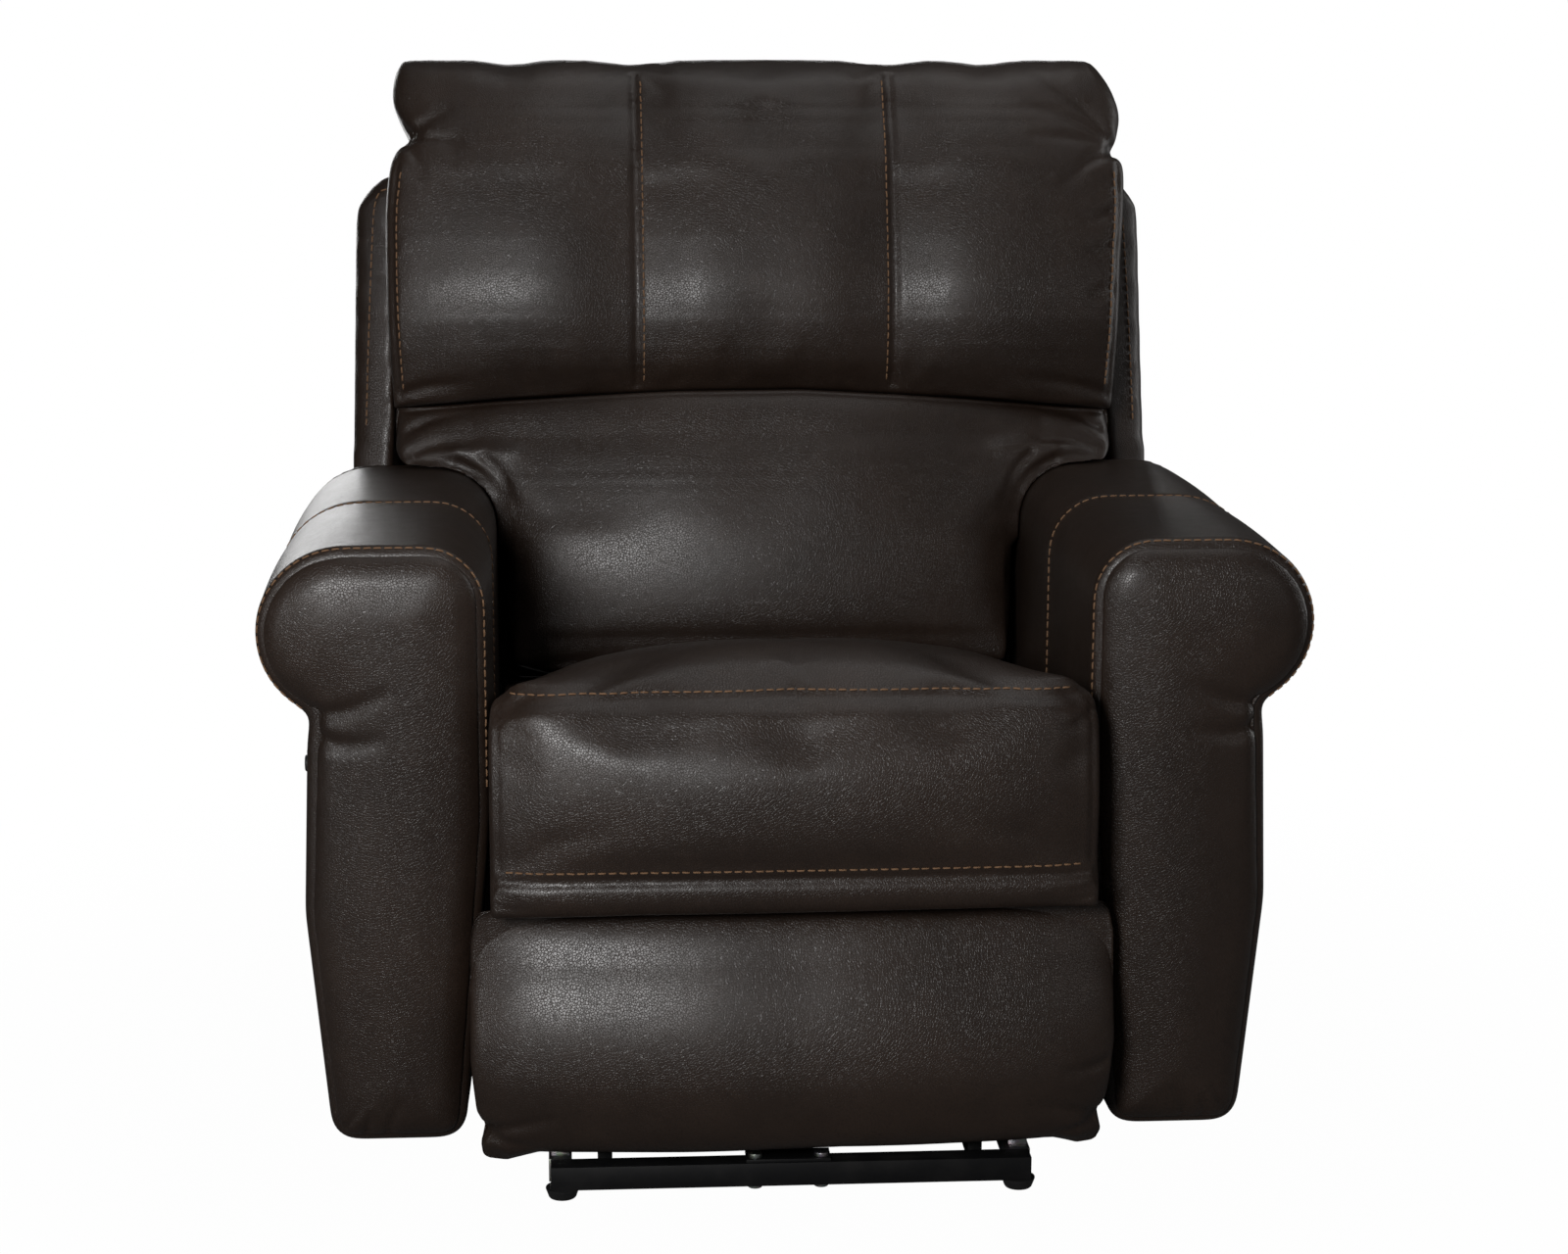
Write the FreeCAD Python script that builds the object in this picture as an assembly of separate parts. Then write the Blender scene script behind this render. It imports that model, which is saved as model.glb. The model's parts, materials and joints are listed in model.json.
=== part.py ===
import FreeCAD, Part
import os
from math import cos, hypot, radians, sin

# A power recliner armchair with one seat, in millimetres. X runs across the chair, Y from front to
# back and Z up. It is built with the front of the arms at Y = 0 and moved to its origin at the end.

# Clearances
SEAM = 0.3
PIN_PLAY = 0.1
SLIDE_PLAY = 0.3
LINK_GAP = 2.0
OVERCUT = 1.0
QUARTER_TURN = 90.0
EIGHTH_TURN = 45.0

# Arms
OVERALL_WIDTH = 1080.0
ARM_GAP = 616.0
ARM_LENGTH = 612.0
ARM_TOP_FRONT = 682.0
ARM_TOP_REAR = 664.0
ARM_BOTTOM = 50.0
ARM_ROLL_RADIUS = 90.0
ARM_ROLL_END = 66.0
ARM_INNER_CORNER = 40.0
ARM_INNER_KNEE = 400.0
ARM_INNER_TAPER = 28.0
ARM_SIDE_INSET = 42.0
ARM_SIDE_HEIGHT = 298.0
ARM_FOOT_INSET = 62.0
ARM_WALL = 25.0
ARM_FRONT_PANEL = 34.0
ARM_FRONT_CROWN = 26.0
ARM_REAR_PANEL = 14.0
ARM_BOARD = 18.0
ARM_POST = 40.0
ARM_RAIL = 30.0
ARM_FRAME_TOP = 600.0
ARM_FRAME_PLAY = 6.0
ARM_BOLT_RADIUS = 4.0
ARM_BOLT_HEAD_RADIUS = 8.0
ARM_BOLT_HEAD = 4.0
ARM_BOLT_DEPTHS = (210.0, 340.0)
ARM_BOLT_HEIGHTS = (160.0, 290.0)

# Seat
SEAT_SIDE_GAP = 5.0
SEAT_FRONT = 110.0
SEAT_REAR = 520.0
SEAT_REAR_TOP = 500.0
SEAT_CROWN_TOP = 556.0
SEAT_CROWN_DEPTH = 60.0
SEAT_SEAM_UPPER = 536.0
SEAT_SEAM_LOWER = 365.0
SEAT_LIP_BOTTOM = 322.0
SEAT_BAND_CROWN = 6.0
SEAT_FOLD = 8.0
SEAT_DRAW_IN = 20.0
SEAT_RAIL_BOTTOM = 322.0
SEAT_RAIL_HEIGHT = 30.0
SEAT_RAIL_WIDTH = 22.0
SEAT_FRONT_RAIL = 35.0
SEAT_FRONT_RAIL_FACE = 55.0
SEAT_REAR_RAIL = 25.0
WEB_STRAP = 60.0
WEB_STRAP_THICK = 2.0
SEAT_STRAPS = 5
SEAT_STRAP_PITCH = 110.0

# Footrest
FOOTREST_WIDTH = 660.0
FOOTREST_FRONT = 98.0
FOOTREST_CROWN = 6.0
FOOTREST_REAR = 26.0
FOOTREST_TOP = 302.0
FOOTREST_BOTTOM = 58.0
FOOTREST_NOSE = 36.0
FOOTREST_DRAW_IN = 14.0
FOOTREST_BOARD = 16.0
FOOTREST_BOARD_WIDTH = 600.0
FOOTREST_BOARD_BOTTOM = 75.0
FOOTREST_BOARD_TOP = 290.0
FOOTREST_BRACKET_FOOT = 70.0
FOOTREST_BRACKET_FLANGE = 24.0

# Footrest linkage: drive tube, elbow and footrest pivot at rest, as depth and height
DRIVE_TUBE = (72.0, 286.0)
ELBOW = (32.0, 86.0)
FOOTREST_PIVOT = (8.0, 277.0)
DRIVE_TUBE_RADIUS = 14.0
DRIVE_STUB_RADIUS = 8.0
LINK_THICK = 6.0
LINK_HALF_WIDTH = 13.0
LINK_PIN_RADIUS = 6.0
LIFT_TRAVEL = 77.0

# Footrest drive
ACTUATOR_X = -3.5
CRANK_RADIUS = 50.0
CRANK_PIN_RADIUS = 5.0
CRANK_PLATE = 4.0
CRANK_HALF_WIDTH = 11.0
CRANK_SLOT_PLAY = 1.1
NUT_WIDTH = 20.0
NUT_LENGTH = 44.0
NUT_WALL = 8.0
RAIL_WIDTH = 12.0
RAIL_HEIGHT = 14.0
RAIL_FRONT = 15.0
RAIL_DROP = 78.0
MOTOR_BOX = (80.0, 88.0, 70.0)
MOTOR_CAN_RADIUS = 27.0
MOTOR_CAN_LENGTH = 95.0

# Steel seat chassis
SIDE_PLATE = 3.4
SIDE_PLATE_FRONT = 30.0
FLANGE_BOTTOM = 118.0
FLANGE_THICK = 4.0
FLANGE_FRONT = 60.0
FLANGE_REAR = 425.0
CROSS_BAR = 25.0
CROSS_BAR_FRONT = 418.0
CROSS_BAR_BOTTOM = 180.0
SHOE_LENGTH = 60.0
SHOE_WALL = 4.0
SHOE_LIP = 14.0
SHOE_FRONTS = (130.0, 360.0)

# Base
TUBE = 25.0
TUBE_LENGTH = 500.0
FRONT_TUBE_FACE = -36.0
REAR_TUBE_FACE = 540.0
GLIDE_HEIGHT = 11.0
GLIDE_RADIUS = 18.0
GLIDE_TIP_RADIUS = 14.0
GLIDE_X = 238.0
RAIL_X = 240.0
BASE_RAIL_WIDTH = 24.0
POST_WIDTH = 20.0
POST_LENGTH = 30.0
BAR_BOTTOM = 80.0
BAR_HEIGHT = 25.0
BAR_FRONT = 0.0
BAR_REAR = 525.0
STAY_X = 193.5
STAY_WIDTH = 15.0
STAY_THICK = 6.0
STAY_BOTTOM = 24.0
STAY_EAR = 26.0

# Recline drive on the base
BRACKET_FLANGE_WIDTH = 88.0
BRACKET_WIDTH = 55.0
BRACKET_THICK = 3.0
BRACKET_TOP = 105.0
BRACKET_SETBACK = 5.0
BRACKET_BOLT_SPACING = 69.0
BRACKET_BOLT_RADIUS = 4.0
BRACKET_BOLT_HEAD_RADIUS = 7.5
BRACKET_BOLT_HEAD = 5.0
RECLINE_MOTOR_BOX = (70.0, 92.0, 58.0)
RECLINE_MOTOR_BOTTOM = 50.0
RECLINE_TUBE_RADIUS = 15.0
RECLINE_TUBE_BORE = 10.0
RECLINE_TUBE_END = 320.0
RECLINE_ROD_RADIUS = 8.0
RECLINE_ROD_FRONT = 195.0
RECLINE_ROD_END = 20.0
PULL_BRACKET_WIDTH = 40.0
PULL_BRACKET_THICK = 10.0
INLET_SIZE = (26.0, 22.0, 30.0)
INLET_RADIUS = 5.0
INLET_DEPTH = 12.0

# Backrest, in its own upright frame: depth behind the hinge and height above it
BACK_HINGE = (600.0, 380.0)
BACK_TILT = 11.6
RECLINE_TRAVEL = 45.0
BACK_FACE = -16.0
BACK_POST = 30.0
BACK_POST_X = 283.0
BACK_POST_BOTTOM = 20.0
BACK_RAIL = 32.0
BACK_BOTTOM_RAIL = 45.0
BACK_MIDDLE_RAIL = 322.0
BACK_TOP_RAIL = 530.0
BACK_STRAPS = 5
BACK_STRAP_PITCH = 105.0
BACK_STRAP_BOTTOM = 100.0
SHELL_WIDTH_BOTTOM = 980.0
SHELL_WIDTH_TOP = 948.0
SHELL_TOP = 630.0
SHELL_REAR = 145.0
SHELL_SIDE_WALL = 50.0
SHELL_WALL = 20.0
SHELL_CORNER = 60.0
SHELL_EDGE = 34.0
SHELL_DROP_ANGLE = 33.0
SHELL_ARM_GAP = 12.0
WING_BOTTOM = 640.0
HEAD_WIDTH = 876.0
HEAD_BOTTOM = 346.0
HEAD_TOP = 765.0
HEAD_FRONT = 140.0
HEAD_FRONT_HEIGHT = 600.0
HEAD_REAR = 66.0
HEAD_SEAMS = (-141.0, 160.0)
HEAD_CHANNEL = 12.0
HEAD_CHANNEL_HALF = 62.0
HEAD_CHANNEL_SIDE = 2.0
HEAD_ROLL_DEPTH = 68.0
HEAD_DRAW_IN = 42.0
HEAD_EDGE = 26.0
HEAD_EDGE_DRAW = 17.0
BACK_SWELL = 5.0
CREASE_DEPTH = 95.0
LUMBAR_WIDTH = 830.0
LUMBAR_FRONT = 172.0
LUMBAR_FRONT_HEIGHT = 235.0
LUMBAR_UNDERSIDE = 148.0
LUMBAR_TAIL = 70.0
LUMBAR_BOTTOM = 48.0
LUMBAR_DRAW_IN = 34.0
LUMBAR_ARM_GAP = 6.0
LUMBAR_SIDE_GAP = 14.0

# Recline linkage
BELL_PIVOT = (500.0, 205.0)
BELL_STUD_DROP = 116.0
BACK_LEVER = 80.0
BELL_ARM = 94.0
BELL_TRAVEL = 38.0
BODY_TRAVEL = 80.0
STUD_SLOT_PLAY = 0.9
LEVER_SLOT_PLAY = 0.7
BRACKET_ARM_TOP = 200.0
BRACKET_ARM_WIDTH = 36.0
REAR_PANEL_THICK = 13.0
REAR_PANEL_WIDTH = 960.0
REAR_PANEL_BOTTOM = 60.0
REAR_PANEL_TOP = 270.0

# Switch on the outer side of the left arm
SWITCH_DEPTH = 180.0
SWITCH_HEIGHT = 420.0
SWITCH_LENGTH = 84.0
SWITCH_WIDTH = 40.0
SWITCH_PROUD = 3.0
BUTTON_RADIUS = 9.0
BUTTON_PITCH = 40.0
BUTTON_PROUD = 4.0
BUTTON_WELL = 12.0
BUTTON_SPRING_ROOM = 3.0

# What follows from the sizes above
ARM_INNER_X = ARM_GAP / 2
ARM_OUTER_X = OVERALL_WIDTH / 2
PLATE_OUTER_X = ARM_INNER_X - SEAM
PLATE_INNER_X = PLATE_OUTER_X - SIDE_PLATE
SEAT_HALF = ARM_INNER_X - SEAT_SIDE_GAP
SEAT_RAIL_OUTER_X = PLATE_INNER_X - SEAM
SEAT_RAIL_INNER_X = SEAT_RAIL_OUTER_X - SEAT_RAIL_WIDTH
SEAT_RAIL_TOP = SEAT_RAIL_BOTTOM + SEAT_RAIL_HEIGHT
SEAT_BASE = SEAT_RAIL_TOP + WEB_STRAP_THICK + SEAM
TUBE_TOP = GLIDE_HEIGHT + TUBE
BAR_TOP = BAR_BOTTOM + BAR_HEIGHT
BAR_HALF = BASE_RAIL_WIDTH / 2
LIFT_LANE = PLATE_INNER_X - LINK_GAP - LINK_THICK
LOWER_LANE = LIFT_LANE - LINK_GAP - LINK_THICK
BRACKET_LANE = LOWER_LANE - LINK_GAP - LINK_THICK
BACK_PLATE_OUTER = PLATE_INNER_X - SEAM
BACK_PLATE_INNER = BACK_POST_X + BACK_POST / 2
DRIVE_LANE = BACK_PLATE_INNER - LINK_GAP - LINK_THICK
BELL_LANE = DRIVE_LANE - LINK_GAP - LINK_THICK
RAIL_Z = DRIVE_TUBE[1] - RAIL_DROP
STUD = (BELL_PIVOT[0] - BODY_TRAVEL / 2, BELL_PIVOT[1] - BELL_STUD_DROP)
BELL_ANGLE = BELL_TRAVEL / 2
BELL_END = (
    BELL_PIVOT[0] + BELL_ARM * sin(radians(BELL_ANGLE)),
    BELL_PIVOT[1] + BELL_ARM * cos(radians(BELL_ANGLE)),
)
LEVER_ANGLE = RECLINE_TRAVEL / 2
LEVER_END = (
    BACK_HINGE[0] + BACK_LEVER * sin(radians(LEVER_ANGLE)),
    BACK_HINGE[1] - BACK_LEVER * cos(radians(LEVER_ANGLE)),
)
CRANK_ANGLE = LIFT_TRAVEL / 2
CRANK_END = (
    DRIVE_TUBE[0] + CRANK_RADIUS * sin(radians(CRANK_ANGLE)),
    DRIVE_TUBE[1] - CRANK_RADIUS * cos(radians(CRANK_ANGLE)),
)
RECLINE_Z = RECLINE_MOTOR_BOTTOM + RECLINE_MOTOR_BOX[2] / 2

parts = {}


# Shapes that many pieces are made of
def vec(x, y, z):
    return FreeCAD.Vector(x, y, z)


def box(x0, x1, y0, y1, z0, z1):
    return Part.makeBox(x1 - x0, y1 - y0, z1 - z0, vec(x0, y0, z0))


def rod_x(x0, x1, centre, radius):
    return Part.makeCylinder(radius, x1 - x0, vec(x0, centre[0], centre[1]), vec(1, 0, 0))


def rod_y(y0, y1, x, z, radius):
    return Part.makeCylinder(radius, y1 - y0, vec(x, y0, z), vec(0, 1, 0))


def rod_z(z0, z1, x, y, radius):
    return Part.makeCylinder(radius, z1 - z0, vec(x, y, z0), vec(0, 0, 1))


def plate_x(points, x0, x1):
    wire = Part.makePolygon([vec(x0, y, z) for y, z in points + points[:1]])
    return Part.Face(wire).extrude(vec(x1 - x0, 0, 0))


def bar_x(start, end, half, x0, x1):
    # a flat bar with round ends, whose thickness runs along X
    length = hypot(end[0] - start[0], end[1] - start[1])
    along = ((end[0] - start[0]) / length, (end[1] - start[1]) / length)
    across = (-along[1] * half, along[0] * half)
    corners = [
        (start[0] + across[0], start[1] + across[1]),
        (end[0] + across[0], end[1] + across[1]),
        (end[0] - across[0], end[1] - across[1]),
        (start[0] - across[0], start[1] - across[1]),
    ]
    middle = plate_x(corners, x0, x1)
    return middle.fuse([rod_x(x0, x1, start, half), rod_x(x0, x1, end, half)]).removeSplitter()


def mirrored(shape):
    return shape.mirror(vec(0, 0, 0), vec(1, 0, 0))


def both_sides(name, shape):
    # the right-hand piece lies at positive X
    parts["right_" + name] = shape
    parts["left_" + name] = mirrored(shape)


def pair(shape):
    return Part.makeCompound([shape, mirrored(shape)])


def arc(first, middle, last):
    return Part.Arc(first, middle, last).toShape()


def leaned(shape):
    # from the backrest's upright frame to its resting tilt
    shape.translate(vec(0, BACK_HINGE[0], BACK_HINGE[1]))
    shape.rotate(vec(0, BACK_HINGE[0], BACK_HINGE[1]), vec(-1, 0, 0), BACK_TILT)
    return shape


# Arms
def arm_top(y):
    return ARM_TOP_FRONT + (ARM_TOP_REAR - ARM_TOP_FRONT) * y / ARM_LENGTH


def arm_outline(y, inset):
    # the P-shaped section of the right arm: upright inner face, flat top, round outer roll
    top = arm_top(y)
    roll = (ARM_OUTER_X - ARM_ROLL_RADIUS, top - ARM_ROLL_RADIUS)
    radius = ARM_ROLL_RADIUS - inset
    corner = ARM_INNER_CORNER - inset / 2
    inner = ARM_INNER_X + inset
    top = top - inset
    turn = sin(radians(EIGHTH_TURN))

    def on_roll(angle):
        return vec(roll[0] + radius * cos(radians(angle)), y, roll[1] + radius * sin(radians(angle)))

    foot_in = vec(inner + ARM_INNER_TAPER, y, ARM_BOTTOM + inset)
    knee = vec(inner, y, ARM_INNER_KNEE)
    corner_low = vec(inner, y, top - corner)
    corner_mid = vec(inner + corner * (1 - turn), y, top - corner * (1 - turn))
    corner_top = vec(inner + corner, y, top)
    side = vec(ARM_OUTER_X - ARM_SIDE_INSET - inset, y, ARM_SIDE_HEIGHT)
    foot_out = vec(ARM_OUTER_X - ARM_FOOT_INSET - inset, y, ARM_BOTTOM + inset)
    edges = [
        Part.makeLine(foot_in, knee),
        Part.makeLine(knee, corner_low),
        arc(corner_low, corner_mid, corner_top),
        Part.makeLine(corner_top, on_roll(QUARTER_TURN)),
        arc(on_roll(QUARTER_TURN), on_roll(EIGHTH_TURN), on_roll(0)),
        arc(on_roll(0), on_roll(-ARM_ROLL_END / 2), on_roll(-ARM_ROLL_END)),
        Part.makeLine(on_roll(-ARM_ROLL_END), side),
        Part.makeLine(side, foot_out),
        Part.makeLine(foot_out, foot_in),
    ]
    return Part.Wire(edges)


cover_front = ARM_FRONT_PANEL + SEAM
cover_rear = ARM_LENGTH - ARM_REAR_PANEL - SEAM
arm_cover = Part.makeLoft([arm_outline(cover_front, 0), arm_outline(cover_rear, 0)], True, True)
arm_hollow = Part.makeLoft(
    [arm_outline(cover_front - OVERCUT, ARM_WALL), arm_outline(cover_rear + OVERCUT, ARM_WALL)],
    True,
    True,
)
arm_cover = arm_cover.cut(arm_hollow)

# the front panel swells forward: its edge is drawn back and its middle is full, as shares of
# the panel's depth and of its crown
panel_steps = ((0.0, 1.0), (0.2, 0.42), (0.5, 0.1), (1.0, 0.0))
panel_sections = [
    arm_outline(ARM_FRONT_PANEL * step, ARM_FRONT_CROWN * draw) for step, draw in panel_steps
]
arm_front_panel = Part.makeLoft(panel_sections, True, True)

arm_rear_panel = Part.makeLoft(
    [arm_outline(ARM_LENGTH - ARM_REAR_PANEL, 0), arm_outline(ARM_LENGTH, 0)], True, True
)

# timber frame inside: a board, a post at each end and a top rail
board_inner = ARM_INNER_X + ARM_INNER_TAPER + ARM_WALL + ARM_FRAME_PLAY
board_outer = board_inner + ARM_BOARD
frame_outer = ARM_OUTER_X - ARM_FOOT_INSET - ARM_WALL - ARM_FRAME_PLAY
frame_bottom = ARM_BOTTOM + ARM_WALL + SEAM
frame_front = cover_front + SEAM
frame_rear = cover_rear - SEAM
arm_frame = box(board_inner, board_outer, frame_front, frame_rear, frame_bottom, ARM_FRAME_TOP)
arm_frame = arm_frame.fuse(
    [
        box(board_outer, frame_outer, frame_front, frame_front + ARM_POST, frame_bottom, ARM_FRAME_TOP),
        box(board_outer, frame_outer, frame_rear - ARM_POST, frame_rear, frame_bottom, ARM_FRAME_TOP),
        box(board_inner, frame_outer, frame_front, frame_rear, ARM_FRAME_TOP, ARM_FRAME_TOP + ARM_RAIL),
    ]
).removeSplitter()

# bolts through the side plate into the timber board
bolts = []
bolt_holes = []
for bolt_y in ARM_BOLT_DEPTHS:
    for bolt_z in ARM_BOLT_HEIGHTS:
        place = (bolt_y, bolt_z)
        head = rod_x(PLATE_INNER_X - ARM_BOLT_HEAD, PLATE_INNER_X, place, ARM_BOLT_HEAD_RADIUS)
        shank = rod_x(PLATE_INNER_X, board_outer, place, ARM_BOLT_RADIUS)
        bolts.append(head.fuse(shank).removeSplitter())
        bolt_holes.append(
            rod_x(PLATE_INNER_X - OVERCUT, board_outer + OVERCUT, place, ARM_BOLT_RADIUS + PIN_PLAY)
        )
arm_cover = arm_cover.cut(Part.makeCompound(bolt_holes))
arm_frame = arm_frame.cut(Part.makeCompound(bolt_holes))
parts["arm_bolts"] = Part.makeCompound([side for bolt in bolts for side in (bolt, mirrored(bolt))])

both_sides("arm_front_panel", arm_front_panel)
both_sides("arm_rear_panel", arm_rear_panel)
both_sides("arm_frame", arm_frame)
both_sides("arm_cover", arm_cover)

# a switch housing let into the outer side of the left arm, with two push buttons
switch_face = -(ARM_OUTER_X - ARM_SIDE_INSET + SWITCH_PROUD)
switch_back = switch_face + ARM_WALL + SWITCH_PROUD
switch_ends = (SWITCH_DEPTH - SWITCH_LENGTH / 2, SWITCH_DEPTH + SWITCH_LENGTH / 2)
switch_low = SWITCH_HEIGHT - SWITCH_WIDTH / 2
switch_high = SWITCH_HEIGHT + SWITCH_WIDTH / 2
switch_plate = box(switch_face, switch_back, *switch_ends, switch_low, switch_high)
switch_hole = box(
    switch_face - SWITCH_PROUD,
    switch_back + ARM_WALL,
    switch_ends[0] - SEAM,
    switch_ends[1] + SEAM,
    switch_low - SEAM,
    switch_high + SEAM,
)
parts["left_arm_cover"] = parts["left_arm_cover"].cut(switch_hole)
for name, side in (("open_button", -1), ("close_button", 1)):
    centre = (SWITCH_DEPTH + side * BUTTON_PITCH / 2, SWITCH_HEIGHT)
    well_end = switch_face + BUTTON_WELL
    well = rod_x(switch_face - OVERCUT, well_end, centre, BUTTON_RADIUS + SLIDE_PLAY)
    switch_plate = switch_plate.cut(well)
    button_end = well_end - BUTTON_SPRING_ROOM
    parts[name] = rod_x(switch_face - BUTTON_PROUD, button_end, centre, BUTTON_RADIUS)
parts["switch_plate"] = switch_plate

# Seat
def seat_outline(x, draw):
    # side section at one X: flat base, front lip, stitched front band and crowned top
    front = -SEAT_FRONT + draw
    crown = SEAT_CROWN_TOP - draw
    band_top = SEAT_SEAM_UPPER - draw
    fold = front + SEAT_FOLD
    lip_rear = -SEAT_FRONT_RAIL_FACE - SEAM
    lip_mid = (fold + lip_rear) / 2

    def at(y, z):
        return vec(x, y, z)

    base_rear = at(SEAT_REAR - draw, SEAT_BASE)
    base_front = at(lip_rear, SEAT_BASE)
    lip_back = at(lip_rear, SEAT_SEAM_LOWER - (SEAT_SEAM_LOWER - SEAT_LIP_BOTTOM) / 2)
    lip_low = at(lip_mid, SEAT_LIP_BOTTOM)
    lip_front = at(fold, SEAT_SEAM_LOWER)
    band_mid = at(front, (SEAT_SEAM_LOWER + band_top) / 2)
    band_end = at(front + SEAT_BAND_CROWN, band_top)
    crown_rise = at(front + SEAT_BAND_CROWN + SEAT_CROWN_DEPTH / 2, crown - SEAT_BAND_CROWN)
    crown_mid = at(SEAT_CROWN_DEPTH, crown)
    top_mid = at((SEAT_CROWN_DEPTH + SEAT_REAR) / 2, (crown + SEAT_REAR_TOP) / 2 + SEAT_BAND_CROWN)
    top_rear = at(SEAT_REAR - draw, SEAT_REAR_TOP - draw)
    edges = [
        Part.makeLine(base_rear, base_front),
        Part.makeLine(base_front, lip_back),
        arc(lip_back, lip_low, lip_front),
        arc(lip_front, band_mid, band_end),
        arc(band_end, crown_rise, crown_mid),
        arc(crown_mid, top_mid, top_rear),
        Part.makeLine(top_rear, base_rear),
    ]
    return Part.Wire(edges)


def cushion_across(outline, half_width, draw_in, steps):
    # a cushion lofted from side to side, full in the middle and drawn in at its ends
    sections = []
    for place, draw in steps:
        sections.append(outline(place * half_width, draw * draw_in))
    return Part.makeLoft(sections, True, False)


# shares of the half width, and of the draw-in at that place
half_steps = ((1.0, 1.0), (0.93, 0.42), (0.72, 0.1), (0.4, 0.01))
pad_steps = [(-place, draw) for place, draw in half_steps] + [(0.0, 0.0)] + list(reversed(half_steps))
parts["seat_cushion"] = cushion_across(seat_outline, SEAT_HALF, SEAT_DRAW_IN, pad_steps)

rail_front = -SEAT_FRONT_RAIL_FACE + SEAT_FRONT_RAIL
rear_rail_front = SEAT_REAR - SEAT_REAR_RAIL
parts["seat_side_rails"] = pair(
    box(
        SEAT_RAIL_INNER_X,
        SEAT_RAIL_OUTER_X,
        rail_front,
        rear_rail_front,
        SEAT_RAIL_BOTTOM,
        SEAT_RAIL_TOP,
    )
)
parts["seat_cross_rails"] = Part.makeCompound(
    [
        box(
            -SEAT_RAIL_OUTER_X,
            SEAT_RAIL_OUTER_X,
            -SEAT_FRONT_RAIL_FACE,
            rail_front,
            SEAT_RAIL_BOTTOM,
            SEAT_RAIL_TOP,
        ),
        box(
            -SEAT_RAIL_OUTER_X,
            SEAT_RAIL_OUTER_X,
            rear_rail_front,
            SEAT_REAR,
            SEAT_RAIL_BOTTOM,
            SEAT_RAIL_TOP,
        ),
    ]
)
straps = []
for number in range(SEAT_STRAPS):
    strap_x = (number - (SEAT_STRAPS - 1) / 2) * SEAT_STRAP_PITCH
    straps.append(
        box(
            strap_x - WEB_STRAP / 2,
            strap_x + WEB_STRAP / 2,
            -SEAT_FRONT_RAIL_FACE,
            SEAT_REAR,
            SEAT_RAIL_TOP,
            SEAT_RAIL_TOP + WEB_STRAP_THICK,
        )
    )
parts["seat_webbing"] = Part.makeCompound(straps)

# Steel side plates, with a flange along the bottom that stands on the slide shoes
plate_points = [
    (SIDE_PLATE_FRONT, SEAT_RAIL_TOP),
    (SIDE_PLATE_FRONT, DRIVE_TUBE[1] - DRIVE_TUBE_RADIUS),
    (FLANGE_FRONT, FLANGE_BOTTOM),
    (FLANGE_REAR, FLANGE_BOTTOM),
    (BELL_PIVOT[0] + CROSS_BAR, BELL_PIVOT[1] - CROSS_BAR),
    (ARM_LENGTH, BACK_HINGE[1] - CROSS_BAR),
    (ARM_LENGTH, BACK_HINGE[1] + CROSS_BAR),
    (BACK_HINGE[0] - CROSS_BAR, BACK_HINGE[1] + CROSS_BAR),
    (BACK_HINGE[0] - CROSS_BAR * 2, SEAT_RAIL_TOP),
]
shoe_inner = RAIL_X - BAR_HALF - SLIDE_PLAY - SHOE_WALL
shoe_outer = RAIL_X + BAR_HALF + SLIDE_PLAY + SHOE_WALL
side_plate = plate_x(plate_points, PLATE_INNER_X, PLATE_OUTER_X)
side_plate = side_plate.fuse(
    box(
        shoe_inner,
        PLATE_INNER_X,
        FLANGE_FRONT,
        FLANGE_REAR,
        FLANGE_BOTTOM,
        FLANGE_BOTTOM + FLANGE_THICK,
    )
).removeSplitter()
hole_x = (PLATE_INNER_X - OVERCUT, PLATE_OUTER_X + OVERCUT)
plate_holes = [
    rod_x(*hole_x, DRIVE_TUBE, DRIVE_STUB_RADIUS + PIN_PLAY),
    rod_x(*hole_x, BELL_PIVOT, LINK_PIN_RADIUS + PIN_PLAY),
    rod_x(*hole_x, BACK_HINGE, LINK_PIN_RADIUS + PIN_PLAY),
]
side_plate = side_plate.cut(Part.makeCompound(plate_holes + bolt_holes))
both_sides("side_plate", side_plate)

shoes = []
for shoe_y in SHOE_FRONTS:
    shoe = box(shoe_inner, shoe_outer, shoe_y, shoe_y + SHOE_LENGTH, BAR_TOP - SHOE_LIP, FLANGE_BOTTOM)
    groove = box(
        RAIL_X - BAR_HALF - SLIDE_PLAY,
        RAIL_X + BAR_HALF + SLIDE_PLAY,
        shoe_y - OVERCUT,
        shoe_y + SHOE_LENGTH + OVERCUT,
        BAR_TOP - SHOE_LIP - OVERCUT,
        BAR_TOP + SLIDE_PLAY,
    )
    shoe = shoe.cut(groove)
    shoes += [shoe, mirrored(shoe)]
parts["slide_shoes"] = Part.makeCompound(shoes)

bar_half_length = PLATE_INNER_X - SEAM
bar_rear = CROSS_BAR_FRONT + CROSS_BAR
bar_top = CROSS_BAR_BOTTOM + CROSS_BAR
parts["motor_cross_bar"] = box(
    -bar_half_length, bar_half_length, CROSS_BAR_FRONT, bar_rear, CROSS_BAR_BOTTOM, bar_top
)
hinge_pins = []
for centre, inner in ((BELL_PIVOT, BELL_LANE - LINK_GAP / 2), (BACK_HINGE, BACK_PLATE_INNER)):
    pin = rod_x(inner, PLATE_OUTER_X, centre, LINK_PIN_RADIUS)
    hinge_pins += [pin, mirrored(pin)]
parts["hinge_pins"] = Part.makeCompound(hinge_pins)

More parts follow.
